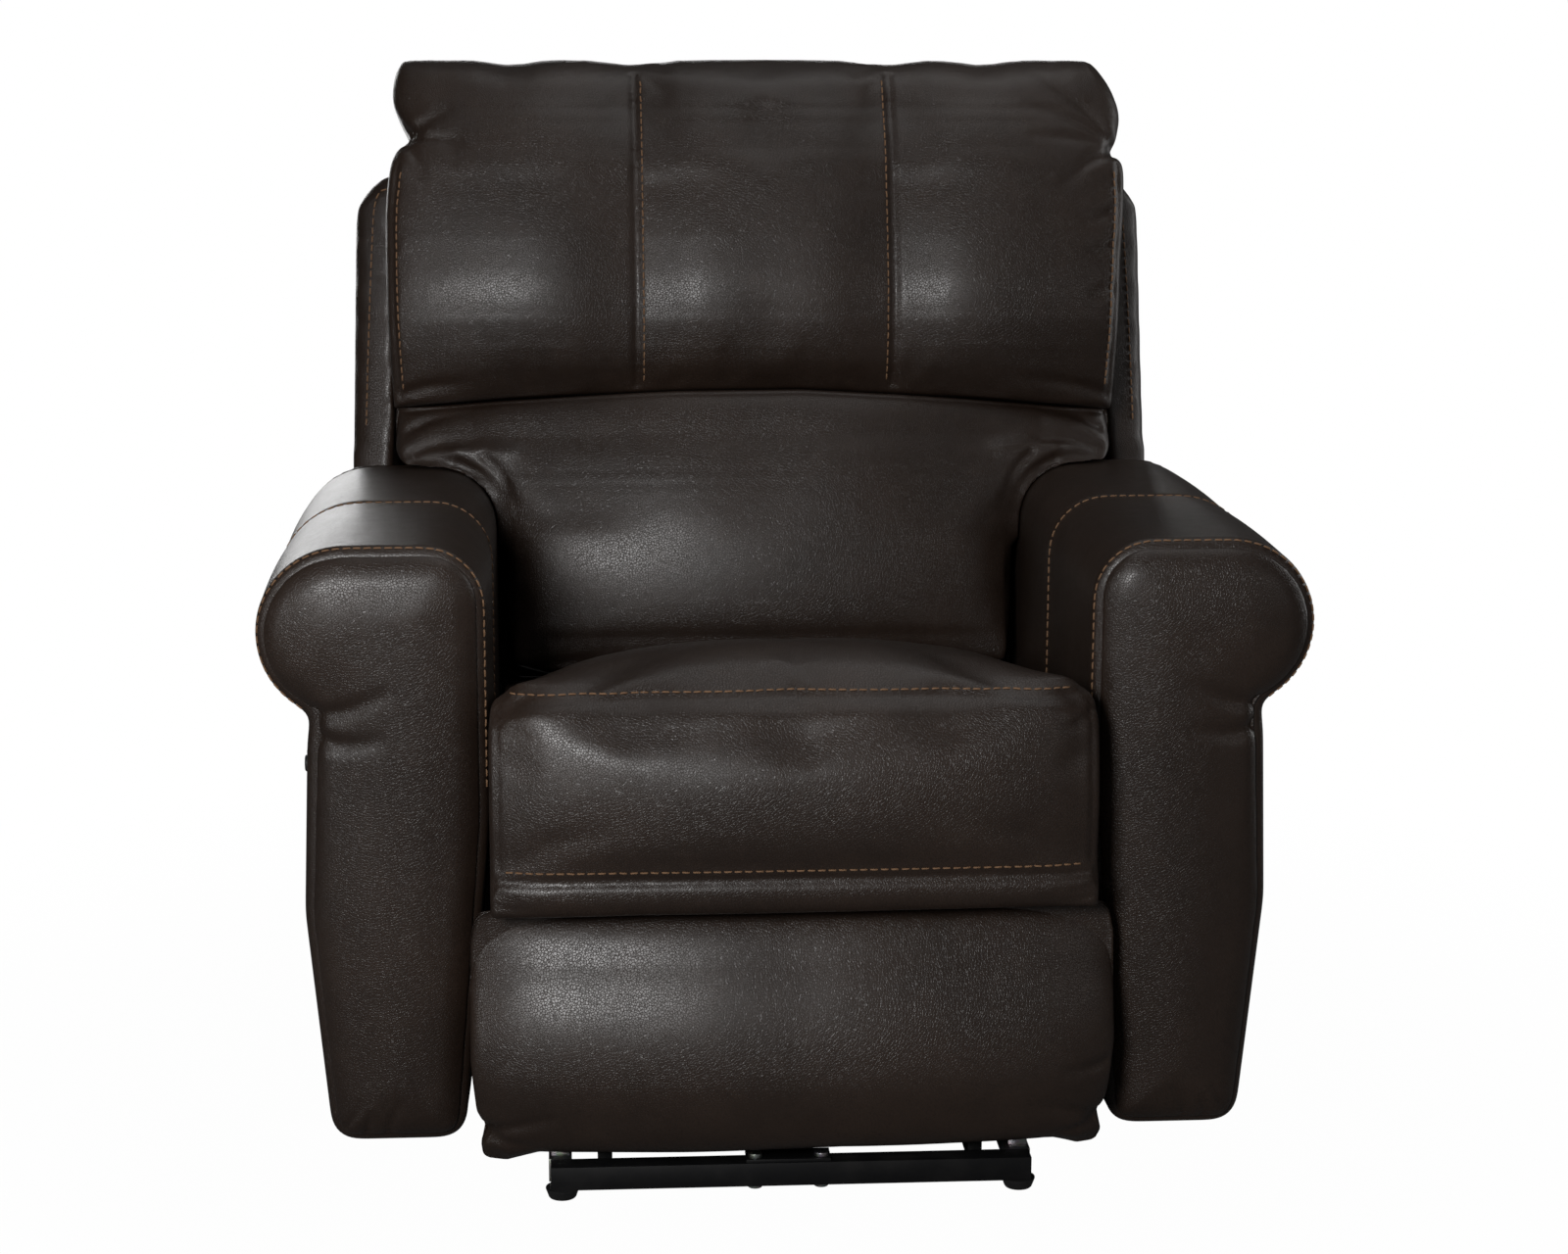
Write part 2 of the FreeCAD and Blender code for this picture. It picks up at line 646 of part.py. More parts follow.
parts["rear_lower_panel"] = box(
    -REAR_PANEL_WIDTH / 2,
    REAR_PANEL_WIDTH / 2,
    ARM_LENGTH + SEAM,
    ARM_LENGTH + SEAM + REAR_PANEL_THICK,
    REAR_PANEL_BOTTOM,
    REAR_PANEL_TOP,
)

# Base frame on the floor
front_tube_rear = FRONT_TUBE_FACE + TUBE
rear_tube_rear = REAR_TUBE_FACE + TUBE
half_tube = TUBE_LENGTH / 2
front_tube = box(-half_tube, half_tube, FRONT_TUBE_FACE, front_tube_rear, GLIDE_HEIGHT, TUBE_TOP)
bracket_bolts = []
for side in (-1, 1):
    bolt_x = ACTUATOR_X + side * BRACKET_BOLT_SPACING / 2
    bolt_y = FRONT_TUBE_FACE + TUBE / 2
    bolt_top = TUBE_TOP + BRACKET_THICK
    head_bottom = GLIDE_HEIGHT - BRACKET_BOLT_HEAD
    head = rod_z(head_bottom, GLIDE_HEIGHT, bolt_x, bolt_y, BRACKET_BOLT_HEAD_RADIUS)
    nut = rod_z(bolt_top, bolt_top + BRACKET_BOLT_HEAD, bolt_x, bolt_y, BRACKET_BOLT_HEAD_RADIUS)
    shank = rod_z(GLIDE_HEIGHT, bolt_top, bolt_x, bolt_y, BRACKET_BOLT_RADIUS)
    bracket_bolts.append(head.fuse([shank, nut]).removeSplitter())
    hole_radius = BRACKET_BOLT_RADIUS + PIN_PLAY
    tube_hole = rod_z(GLIDE_HEIGHT - OVERCUT, TUBE_TOP + OVERCUT, bolt_x, bolt_y, hole_radius)
    front_tube = front_tube.cut(tube_hole)
parts["front_cross_tube"] = front_tube
parts["bracket_bolts"] = Part.makeCompound(bracket_bolts)
parts["rear_cross_tube"] = box(
    -half_tube, half_tube, REAR_TUBE_FACE, rear_tube_rear, GLIDE_HEIGHT, TUBE_TOP
)
base_rail = box(
    RAIL_X - BAR_HALF, RAIL_X + BAR_HALF, front_tube_rear, REAR_TUBE_FACE, GLIDE_HEIGHT, TUBE_TOP
)
both_sides("base_rail", base_rail)
posts = []
for post_y in (BAR_FRONT, BAR_REAR - POST_LENGTH):
    post_x = (RAIL_X - POST_WIDTH / 2, RAIL_X + POST_WIDTH / 2)
    post = box(*post_x, post_y, post_y + POST_LENGTH, TUBE_TOP, BAR_BOTTOM)
    posts += [post, mirrored(post)]
parts["base_posts"] = Part.makeCompound(posts)
slide_bar = box(RAIL_X - BAR_HALF, RAIL_X + BAR_HALF, BAR_FRONT, BAR_REAR, BAR_BOTTOM, BAR_TOP)
stud = rod_x(RAIL_X + BAR_HALF, BELL_LANE + LINK_THICK + LINK_GAP / 2, STUD, LINK_PIN_RADIUS)
both_sides("slide_bar", slide_bar.fuse(stud).removeSplitter())
stay_x = (STAY_X - STAY_WIDTH / 2, STAY_X + STAY_WIDTH / 2)
stay = box(*stay_x, front_tube_rear, REAR_TUBE_FACE, STAY_BOTTOM, STAY_BOTTOM + STAY_THICK)
stay_ear = box(*stay_x, front_tube_rear, front_tube_rear + STAY_THICK, STAY_BOTTOM, STAY_BOTTOM + STAY_EAR)
parts["base_stays"] = pair(stay.fuse(stay_ear).removeSplitter())
glides = []
for glide_y in (FRONT_TUBE_FACE + TUBE / 2, REAR_TUBE_FACE + TUBE / 2):
    glide = Part.makeCone(
        GLIDE_TIP_RADIUS, GLIDE_RADIUS, GLIDE_HEIGHT, vec(GLIDE_X, glide_y, 0), vec(0, 0, 1)
    )
    glides += [glide, mirrored(glide)]
parts["floor_glides"] = Part.makeCompound(glides)

# Recline drive: motor on the centre bracket, outer tube, and a rod that pulls the seat body
bracket_rear = front_tube_rear + BRACKET_SETBACK + BRACKET_THICK
bracket = box(
    ACTUATOR_X - BRACKET_FLANGE_WIDTH / 2,
    ACTUATOR_X + BRACKET_FLANGE_WIDTH / 2,
    FRONT_TUBE_FACE + BRACKET_THICK,
    bracket_rear,
    TUBE_TOP,
    TUBE_TOP + BRACKET_THICK,
)
upright = box(
    ACTUATOR_X - BRACKET_WIDTH / 2,
    ACTUATOR_X + BRACKET_WIDTH / 2,
    bracket_rear - BRACKET_THICK,
    bracket_rear,
    TUBE_TOP,
    BRACKET_TOP,
)
bracket = bracket.fuse(upright).removeSplitter()
for side in (-1, 1):
    bolt_x = ACTUATOR_X + side * BRACKET_BOLT_SPACING / 2
    bracket = bracket.cut(
        rod_z(
            TUBE_TOP - OVERCUT,
            TUBE_TOP + BRACKET_THICK + OVERCUT,
            bolt_x,
            FRONT_TUBE_FACE + TUBE / 2,
            BRACKET_BOLT_RADIUS + PIN_PLAY,
        )
    )
parts["actuator_bracket"] = bracket
motor_rear = bracket_rear + RECLINE_MOTOR_BOX[1]
motor_half = RECLINE_MOTOR_BOX[0] / 2
parts["recline_motor"] = box(
    ACTUATOR_X - motor_half,
    ACTUATOR_X + motor_half,
    bracket_rear,
    motor_rear,
    RECLINE_MOTOR_BOTTOM,
    RECLINE_MOTOR_BOTTOM + RECLINE_MOTOR_BOX[2],
)
inlet_x = ACTUATOR_X + motor_half
inlet_y = bracket_rear + RECLINE_MOTOR_BOX[1] / 2
inlet = box(
    inlet_x,
    inlet_x + INLET_SIZE[0],
    inlet_y - INLET_SIZE[1] / 2,
    inlet_y + INLET_SIZE[1] / 2,
    RECLINE_Z - INLET_SIZE[2] / 2,
    RECLINE_Z + INLET_SIZE[2] / 2,
)
inlet_end = inlet_x + INLET_SIZE[0]
socket = rod_x(inlet_end - INLET_DEPTH, inlet_end + OVERCUT, (inlet_y, RECLINE_Z), INLET_RADIUS)
parts["power_inlet"] = inlet.cut(socket)
outer_tube = rod_y(motor_rear, RECLINE_TUBE_END, ACTUATOR_X, RECLINE_Z, RECLINE_TUBE_RADIUS)
bore_radius = RECLINE_ROD_RADIUS + SLIDE_PLAY
bore_front = motor_rear + RECLINE_TUBE_BORE
bore = rod_y(bore_front, RECLINE_TUBE_END + OVERCUT, ACTUATOR_X, RECLINE_Z, bore_radius)
parts["recline_tube"] = outer_tube.cut(bore)
pull_front = CROSS_BAR_FRONT
pull_rear = pull_front + PULL_BRACKET_THICK
parts["recline_rod"] = rod_y(
    RECLINE_ROD_FRONT, pull_rear + RECLINE_ROD_END, ACTUATOR_X, RECLINE_Z, RECLINE_ROD_RADIUS
)
pull_bracket = box(
    ACTUATOR_X - PULL_BRACKET_WIDTH / 2,
    ACTUATOR_X + PULL_BRACKET_WIDTH / 2,
    pull_front,
    pull_rear,
    RECLINE_Z - PULL_BRACKET_WIDTH / 2,
    CROSS_BAR_BOTTOM,
)
pull_radius = RECLINE_ROD_RADIUS + PIN_PLAY
pull_hole = rod_y(pull_front - OVERCUT, pull_rear + OVERCUT, ACTUATOR_X, RECLINE_Z, pull_radius)
parts["pull_bracket"] = pull_bracket.cut(pull_hole)

# Footrest drive: motor in front of the cross bar, guide rail, and a nut with a slot for the crank pin
gear_rear = CROSS_BAR_FRONT - SEAM
gear_front = gear_rear - MOTOR_BOX[1]
gear_half = MOTOR_BOX[0] / 2
gear_bottom = RAIL_Z - MOTOR_BOX[2] / 2
gear_box = box(
    ACTUATOR_X - gear_half,
    ACTUATOR_X + gear_half,
    gear_front,
    gear_rear,
    gear_bottom,
    gear_bottom + MOTOR_BOX[2],
)
motor_can = rod_x(
    ACTUATOR_X + gear_half,
    ACTUATOR_X + gear_half + MOTOR_CAN_LENGTH,
    ((gear_front + gear_rear) / 2, RAIL_Z),
    MOTOR_CAN_RADIUS,
)
parts["footrest_motor"] = gear_box.fuse(motor_can).removeSplitter()
rail_x = (ACTUATOR_X - RAIL_WIDTH / 2, ACTUATOR_X + RAIL_WIDTH / 2)
rail_z = (RAIL_Z - RAIL_HEIGHT / 2, RAIL_Z + RAIL_HEIGHT / 2)
parts["footrest_rail"] = box(*rail_x, RAIL_FRONT, gear_front, *rail_z)
slot_low = DRIVE_TUBE[1] - CRANK_RADIUS - CRANK_PIN_RADIUS - CRANK_SLOT_PLAY
slot_high = CRANK_END[1] + CRANK_PIN_RADIUS + CRANK_SLOT_PLAY
slot_half = CRANK_PIN_RADIUS + CRANK_SLOT_PLAY
nut_x = (ACTUATOR_X - NUT_WIDTH / 2, ACTUATOR_X + NUT_WIDTH / 2)
nut = box(
    *nut_x,
    CRANK_END[0] - NUT_LENGTH / 2,
    CRANK_END[0] + NUT_LENGTH / 2,
    rail_z[0] - NUT_WALL,
    slot_high + NUT_WALL,
)
nut = nut.cut(
    box(
        rail_x[0] - SLIDE_PLAY,
        rail_x[1] + SLIDE_PLAY,
        CRANK_END[0] - NUT_LENGTH,
        CRANK_END[0] + NUT_LENGTH,
        rail_z[0] - SLIDE_PLAY,
        rail_z[1] + SLIDE_PLAY,
    )
)
parts["actuator_nut"] = nut.cut(
    box(
        nut_x[0] - OVERCUT,
        nut_x[1] + OVERCUT,
        CRANK_END[0] - slot_half,
        CRANK_END[0] + slot_half,
        slot_low,
        slot_high,
    )
)

# Drive tube with its crank, lift arms, lower links and the footrest
tube_half = PLATE_INNER_X - SEAM
drive_tube = rod_x(-tube_half, tube_half, DRIVE_TUBE, DRIVE_TUBE_RADIUS)
stub_end = PLATE_OUTER_X
drive_tube = drive_tube.fuse(rod_x(-stub_end, stub_end, DRIVE_TUBE, DRIVE_STUB_RADIUS))
crank_inner = NUT_WIDTH / 2 + SLIDE_PLAY + PIN_PLAY
crank_outer = crank_inner + CRANK_PLATE
for side in (-1, 1):
    crank_x = sorted((ACTUATOR_X + side * crank_inner, ACTUATOR_X + side * crank_outer))
    drive_tube = drive_tube.fuse(bar_x(DRIVE_TUBE, CRANK_END, CRANK_HALF_WIDTH, *crank_x))
crank_pin = rod_x(ACTUATOR_X - crank_outer, ACTUATOR_X + crank_outer, CRANK_END, CRANK_PIN_RADIUS)
parts["drive_tube"] = drive_tube.fuse(crank_pin).removeSplitter()

lift_arm = bar_x(DRIVE_TUBE, ELBOW, LINK_HALF_WIDTH, LIFT_LANE, LIFT_LANE + LINK_THICK)
lift_boss = rod_x(LIFT_LANE, LIFT_LANE + LINK_THICK, DRIVE_TUBE, DRIVE_TUBE_RADIUS + LINK_PIN_RADIUS)
elbow_pin = rod_x(LOWER_LANE - LINK_GAP / 2, LIFT_LANE, ELBOW, LINK_PIN_RADIUS)
lift_arm = lift_arm.fuse([lift_boss, elbow_pin]).removeSplitter()
lift_end = LIFT_LANE + LINK_THICK + OVERCUT
lift_arm = lift_arm.cut(rod_x(LIFT_LANE - OVERCUT, lift_end, DRIVE_TUBE, DRIVE_TUBE_RADIUS + PIN_PLAY))
both_sides("lift_arm", lift_arm)

lower_link = bar_x(ELBOW, FOOTREST_PIVOT, LINK_HALF_WIDTH, LOWER_LANE, LOWER_LANE + LINK_THICK)
for centre in (ELBOW, FOOTREST_PIVOT):
    lower_end = LOWER_LANE + LINK_THICK + OVERCUT
    lower_link = lower_link.cut(rod_x(LOWER_LANE - OVERCUT, lower_end, centre, LINK_PIN_RADIUS + PIN_PLAY))
both_sides("lower_link", lower_link)


def footrest_outline(x, draw):
    # side section at one X: flat back, round nose above and below, crowned front
    back = -FOOTREST_REAR - SEAM
    front = -FOOTREST_FRONT + draw
    top = FOOTREST_TOP - draw
    bottom = FOOTREST_BOTTOM + draw
    nose = FOOTREST_NOSE
    turn = sin(radians(EIGHTH_TURN))

    def at(y, z):
        return vec(x, y, z)

    edges = [
        Part.makeLine(at(back, bottom), at(back, top)),
        Part.makeLine(at(back, top), at(front + nose, top)),
        arc(
            at(front + nose, top),
            at(front + nose * (1 - turn), top - nose * (1 - turn)),
            at(front, top - nose),
        ),
        arc(
            at(front, top - nose),
            at(front - FOOTREST_CROWN, (top + bottom) / 2),
            at(front, bottom + nose),
        ),
        arc(
            at(front, bottom + nose),
            at(front + nose * (1 - turn), bottom + nose * (1 - turn)),
            at(front + nose, bottom),
        ),
        Part.makeLine(at(front + nose, bottom), at(back, bottom)),
    ]
    return Part.Wire(edges)


parts["footrest_pad"] = cushion_across(footrest_outline, FOOTREST_WIDTH / 2, FOOTREST_DRAW_IN, pad_steps)
board_rear = -FOOTREST_REAR + FOOTREST_BOARD
parts["footrest_board"] = box(
    -FOOTREST_BOARD_WIDTH / 2,
    FOOTREST_BOARD_WIDTH / 2,
    -FOOTREST_REAR,
    board_rear,
    FOOTREST_BOARD_BOTTOM,
    FOOTREST_BOARD_TOP,
)
bracket_foot = (board_rear, FOOTREST_PIVOT[1] - FOOTREST_BRACKET_FOOT)
bracket_plate = plate_x(
    [
        (board_rear, FOOTREST_BOARD_TOP),
        bracket_foot,
        (FOOTREST_PIVOT[0] + LINK_HALF_WIDTH, FOOTREST_PIVOT[1] - LINK_HALF_WIDTH),
        (FOOTREST_PIVOT[0] + LINK_HALF_WIDTH, FOOTREST_BOARD_TOP),
    ],
    BRACKET_LANE,
    BRACKET_LANE + LINK_THICK,
)
bracket_flange = box(
    BRACKET_LANE - FOOTREST_BRACKET_FLANGE,
    BRACKET_LANE,
    board_rear,
    board_rear + BRACKET_THICK,
    bracket_foot[1],
    FOOTREST_BOARD_TOP,
)
pivot_pin = rod_x(
    BRACKET_LANE + LINK_THICK, LOWER_LANE + LINK_THICK + LINK_GAP / 2, FOOTREST_PIVOT, LINK_PIN_RADIUS
)
parts["footrest_brackets"] = pair(bracket_plate.fuse([bracket_flange, pivot_pin]).removeSplitter())

# Recline linkage: bell cranks turned by the base studs, and links to the levers under the back
stud_reach = hypot(BODY_TRAVEL / 2, BELL_STUD_DROP)
bell_away = ((STUD[0] - BELL_PIVOT[0]) / stud_reach, (STUD[1] - BELL_PIVOT[1]) / stud_reach)


def along_bell(reach):
    return (BELL_PIVOT[0] + bell_away[0] * reach, BELL_PIVOT[1] + bell_away[1] * reach)


bell_x = (BELL_LANE, BELL_LANE + LINK_THICK)
slot_radius = LINK_PIN_RADIUS + STUD_SLOT_PLAY
bell_crank = bar_x(along_bell(stud_reach), BELL_END, LINK_HALF_WIDTH, *bell_x)
bell_hub = rod_x(BELL_LANE, PLATE_INNER_X - SEAM, BELL_PIVOT, LINK_HALF_WIDTH)
bell_pin = rod_x(bell_x[1], DRIVE_LANE + LINK_THICK + LINK_GAP / 2, BELL_END, LINK_PIN_RADIUS)
bell_crank = bell_crank.fuse([bell_hub, bell_pin]).removeSplitter()
bell_crank = bell_crank.cut(
    rod_x(BELL_LANE - LINK_GAP, PLATE_INNER_X, BELL_PIVOT, LINK_PIN_RADIUS + PIN_PLAY)
)
bell_slot = bar_x(
    along_bell(BELL_STUD_DROP - STUD_SLOT_PLAY),
    along_bell(stud_reach + STUD_SLOT_PLAY),
    slot_radius,
    bell_x[0] - OVERCUT,
    bell_x[1] + OVERCUT,
)
both_sides("bell_crank", bell_crank.cut(bell_slot))

drive_x = (DRIVE_LANE, DRIVE_LANE + LINK_THICK)
lever_slot_half = LINK_PIN_RADIUS + LEVER_SLOT_PLAY
lever_sag = BACK_LEVER * (1 - cos(radians(LEVER_ANGLE))) + BELL_ARM * (1 - cos(radians(BELL_ANGLE)))
lever_slot_low = (LEVER_END[0], LEVER_END[1] - lever_sag - LEVER_SLOT_PLAY)
drive_link = bar_x(BELL_END, LEVER_END, LINK_HALF_WIDTH, *drive_x)
eye = bar_x(lever_slot_low, LEVER_END, LINK_HALF_WIDTH, *drive_x)
drive_link = drive_link.fuse(eye).removeSplitter()
slot_x = (DRIVE_LANE - OVERCUT, DRIVE_LANE + LINK_THICK + OVERCUT)
drive_link = drive_link.cut(rod_x(*slot_x, BELL_END, LINK_PIN_RADIUS + PIN_PLAY))
lever_slot = bar_x(lever_slot_low, LEVER_END, lever_slot_half, *slot_x)
both_sides("drive_link", drive_link.cut(lever_slot))


# Backrest
def back_outline(points_and_arcs, x):
    # a closed side section from a list of line ends and arc middles
    edges = []
    start = points_and_arcs[0]
    for middle, end in points_and_arcs[1:]:
        if middle is None:
            edges.append(Part.makeLine(vec(x, *start), vec(x, *end)))
        else:
            edges.append(arc(vec(x, *start), vec(x, *middle), vec(x, *end)))
        start = end
    return Part.Wire(edges)


def head_outline(x, draw):
    # flat back, a roll over the shell's top edge, full front, and the crease below
    back = BACK_FACE - SEAM
    seat_top = SHELL_TOP + SEAM
    front = -HEAD_FRONT + draw
    top = HEAD_TOP - draw
    rear = HEAD_REAR - draw / 2
    crease = -CREASE_DEPTH + draw / 2
    roll_mid = (seat_top + top) / 2
    start = (back, HEAD_BOTTOM)
    return back_outline(
        [
            start,
            (None, (back, seat_top)),
            (None, (rear, seat_top)),
            ((rear + SHELL_WALL / 2, roll_mid), (rear - SHELL_WALL, top - SHELL_WALL)),
            ((rear - HEAD_ROLL_DEPTH, top), (front + SHELL_CORNER / 2, top - SHELL_CORNER)),
            (
                (front + BACK_SWELL, (top + HEAD_FRONT_HEIGHT) / 2 - SHELL_WALL),
                (front, HEAD_FRONT_HEIGHT),
            ),
            ((front, (HEAD_FRONT_HEIGHT + HEAD_BOTTOM) / 2), (crease, HEAD_BOTTOM)),
            (None, start),
        ],
        x,
    )


def lumbar_outline(x, draw):
    # flat back, crease above, full front, and a thin tail behind the seat
    back = BACK_FACE - SEAM
    top = HEAD_BOTTOM - SEAM
    front = -LUMBAR_FRONT + draw
    crease = -CREASE_DEPTH + draw / 2
    under = (front + draw / 2 + LUMBAR_DRAW_IN, LUMBAR_UNDERSIDE)
    tail = -LUMBAR_TAIL + draw / 2
    start = (back, LUMBAR_BOTTOM)
    full = (front, LUMBAR_FRONT_HEIGHT)
    return back_outline(
        [
            start,
            (None, (back, top)),
            (None, (crease, top)),
            ((front + SHELL_WALL, (top + LUMBAR_FRONT_HEIGHT) / 2 + SHELL_WALL / 2), full),
            ((front + BACK_SWELL, (LUMBAR_FRONT_HEIGHT + LUMBAR_UNDERSIDE) / 2), under),
            (None, (tail, LUMBAR_UNDERSIDE - SHELL_WALL)),
            (None, (tail, LUMBAR_BOTTOM)),
            (None, start),
        ],
        x,
    )


head_half = HEAD_WIDTH / 2
head_sections = [(-head_half, HEAD_DRAW_IN), (-head_half + HEAD_EDGE, HEAD_EDGE_DRAW)]
panel_ends = (-head_half, *HEAD_SEAMS, head_half)
for first, last in zip(panel_ends, panel_ends[1:]):
    head_sections.append(((first + last) / 2, 0.0))
    if last < head_half:
        head_sections.append((last - HEAD_CHANNEL_HALF, HEAD_CHANNEL_SIDE))
        head_sections.append((last, HEAD_CHANNEL))
        head_sections.append((last + HEAD_CHANNEL_HALF, HEAD_CHANNEL_SIDE))
head_sections += [(head_half - HEAD_EDGE, HEAD_EDGE_DRAW), (head_half, HEAD_DRAW_IN)]
head_cushion = Part.makeLoft([head_outline(x, draw) for x, draw in head_sections], True, False)
parts["head_cushion"] = leaned(head_cushion)

lumbar = leaned(cushion_across(lumbar_outline, LUMBAR_WIDTH / 2, LUMBAR_DRAW_IN, pad_steps))
arm_room_rear = BACK_HINGE[0] + SHELL_REAR
arm_room = plate_x(
    [
        (0, 0),
        (arm_room_rear, 0),
        (arm_room_rear, arm_top(arm_room_rear) + LUMBAR_ARM_GAP),
        (0, arm_top(0) + LUMBAR_ARM_GAP),
    ],
    ARM_INNER_X - LUMBAR_SIDE_GAP,
    ARM_OUTER_X,
)
parts["lumbar_cushion"] = lumbar.cut(pair(arm_room))

# timber frame: two posts, a bottom rail between them, and two rails behind that carry the shell
post_front = BACK_FACE + WEB_STRAP_THICK
post_rear = post_front + BACK_POST
post_inner = BACK_POST_X - BACK_POST / 2
post_top = BACK_TOP_RAIL + BACK_RAIL
post = box(post_inner, BACK_PLATE_INNER, post_front, post_rear, BACK_POST_BOTTOM, post_top)
rail_rear = post_rear + BACK_RAIL
rail_half = SHELL_WIDTH_TOP / 2 - SHELL_SIDE_WALL - SEAM
frame_pieces = [post, mirrored(post)]
frame_pieces.append(
    box(-post_inner, post_inner, post_front, post_rear, BACK_BOTTOM_RAIL, BACK_BOTTOM_RAIL + BACK_RAIL)
)
for rail_height in (BACK_MIDDLE_RAIL, BACK_TOP_RAIL):
    frame_pieces.append(
        box(-rail_half, rail_half, post_rear, rail_rear, rail_height, rail_height + BACK_RAIL)
    )
parts["back_frame"] = leaned(Part.makeCompound(frame_pieces))
back_straps = []
for number in range(BACK_STRAPS):
    low = BACK_STRAP_BOTTOM + number * BACK_STRAP_PITCH
    back_straps.append(
        box(-BACK_PLATE_INNER, BACK_PLATE_INNER, BACK_FACE, post_front, low, low + WEB_STRAP)
    )
parts["back_webbing"] = leaned(Part.makeCompound(back_straps))


def shell_block(inset, top, front, rear):
    # the back's front outline, narrower at the top, with round upper corners
    corner = SHELL_CORNER - inset / 2
    low = -SHELL_REAR
    half_low = SHELL_WIDTH_BOTTOM / 2 - inset
    half_top = SHELL_WIDTH_TOP / 2 - inset
    turn = corner * (1 - sin(radians(EIGHTH_TURN)))

    def at(x, z):
        return vec(x, front, z)

    edges = [
        Part.makeLine(at(-half_low, low), at(-half_top, top - corner)),
        arc(at(-half_top, top - corner), at(-half_top + turn, top - turn), at(-half_top + corner, top)),
        Part.makeLine(at(-half_top + corner, top), at(half_top - corner, top)),
        arc(at(half_top - corner, top), at(half_top - turn, top - turn), at(half_top, top - corner)),
        Part.makeLine(at(half_top, top - corner), at(half_low, low)),
        Part.makeLine(at(half_low, low), at(-half_low, low)),
    ]
    return Part.Face(Part.Wire(edges)).extrude(vec(0, rear - front, 0))


shell = shell_block(0, SHELL_TOP, BACK_FACE, SHELL_REAR)
rear_edges = [
    edge for edge in shell.Edges if abs(edge.BoundBox.YMin - SHELL_REAR) < SEAM and edge.BoundBox.ZMax > 0
]
shell = shell.makeFillet(SHELL_EDGE, rear_edges)
shell = shell.cut(
    shell_block(SHELL_SIDE_WALL, SHELL_TOP - SHELL_WALL, BACK_FACE - OVERCUT, SHELL_REAR - SHELL_WALL)
)
shell = leaned(shell)
shell_front = ARM_LENGTH + SHELL_ARM_GAP
arm_side = box(-ARM_OUTER_X, ARM_OUTER_X, 0, shell_front, 0, WING_BOTTOM)
drop = (SHELL_REAR * 2) * sin(radians(SHELL_DROP_ANGLE)) / cos(radians(SHELL_DROP_ANGLE))
below = plate_x(
    [
        (0, BACK_HINGE[1]),
        (shell_front, BACK_HINGE[1]),
        (shell_front + SHELL_REAR * 2, BACK_HINGE[1] - drop),
        (shell_front + SHELL_REAR * 2, -SHELL_REAR),
        (0, -SHELL_REAR),
    ],
    -ARM_OUTER_X,
    ARM_OUTER_X,
)
parts["back_shell"] = shell.cut(arm_side).cut(below)

back_plate = bar_x(BACK_HINGE, LEVER_END, LINK_HALF_WIDTH, BACK_PLATE_INNER + SEAM, BACK_PLATE_OUTER)
upper_arm = leaned(
    box(
        BACK_PLATE_INNER + SEAM,
        BACK_PLATE_OUTER,
        -BRACKET_ARM_WIDTH / 2,
        BRACKET_ARM_WIDTH / 2,
        0,
        BRACKET_ARM_TOP,
    )
)
back_hub = rod_x(BACK_PLATE_INNER + SEAM, BACK_PLATE_OUTER, BACK_HINGE, BRACKET_ARM_WIDTH / 2)
lever_pin = rod_x(DRIVE_LANE - LINK_GAP / 2, BACK_PLATE_INNER + SEAM, LEVER_END, LINK_PIN_RADIUS)
back_plate = back_plate.fuse([upper_arm, back_hub, lever_pin]).removeSplitter()
back_plate = back_plate.cut(
    rod_x(BACK_PLATE_INNER - OVERCUT, PLATE_INNER_X, BACK_HINGE, LINK_PIN_RADIUS + PIN_PLAY)
)
parts["back_brackets"] = pair(back_plate)

# Set the origin under the middle of the whole chair and write one file for each piece
whole = Part.makeCompound(list(parts.values())).optimalBoundingBox(False)
shift = vec(-(whole.XMin + whole.XMax) / 2, -(whole.YMin + whole.YMax) / 2, -whole.ZMin)
os.makedirs("parts", exist_ok=True)
for name, shape in parts.items():
    shape.translate(shift)
    shape.exportStep("parts/" + name + ".step")
print(len(parts), "pieces", whole.XLength, whole.YLength, whole.ZLength, "moved by", shift)
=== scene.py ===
import json
import math

import bpy
import numpy as np
from mathutils import Matrix, Vector
from mathutils.bvhtree import BVHTree


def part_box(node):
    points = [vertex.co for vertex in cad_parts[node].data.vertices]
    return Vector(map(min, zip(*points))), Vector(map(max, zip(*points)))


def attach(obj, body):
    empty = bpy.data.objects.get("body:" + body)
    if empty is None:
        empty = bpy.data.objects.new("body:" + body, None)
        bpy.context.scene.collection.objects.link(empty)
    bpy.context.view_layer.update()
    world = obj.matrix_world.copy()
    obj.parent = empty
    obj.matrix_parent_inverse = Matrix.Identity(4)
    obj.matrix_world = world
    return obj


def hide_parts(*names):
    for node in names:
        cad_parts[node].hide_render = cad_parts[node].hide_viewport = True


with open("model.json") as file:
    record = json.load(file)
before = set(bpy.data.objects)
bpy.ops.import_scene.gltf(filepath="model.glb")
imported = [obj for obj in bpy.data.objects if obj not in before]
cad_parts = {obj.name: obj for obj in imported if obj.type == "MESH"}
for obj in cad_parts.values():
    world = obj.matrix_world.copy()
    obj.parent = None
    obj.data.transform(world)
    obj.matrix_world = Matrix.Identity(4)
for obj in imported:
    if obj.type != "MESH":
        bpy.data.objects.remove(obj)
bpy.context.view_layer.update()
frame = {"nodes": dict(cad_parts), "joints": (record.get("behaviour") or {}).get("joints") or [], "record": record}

# Viewpoint: a studio camera 3.5 m in front of the chair, a little to its left and above the back,
# turned slightly to the right and down, with a long lens.
photo_width = 1600
focal_pixels = 3244.8
sensor = 36.0
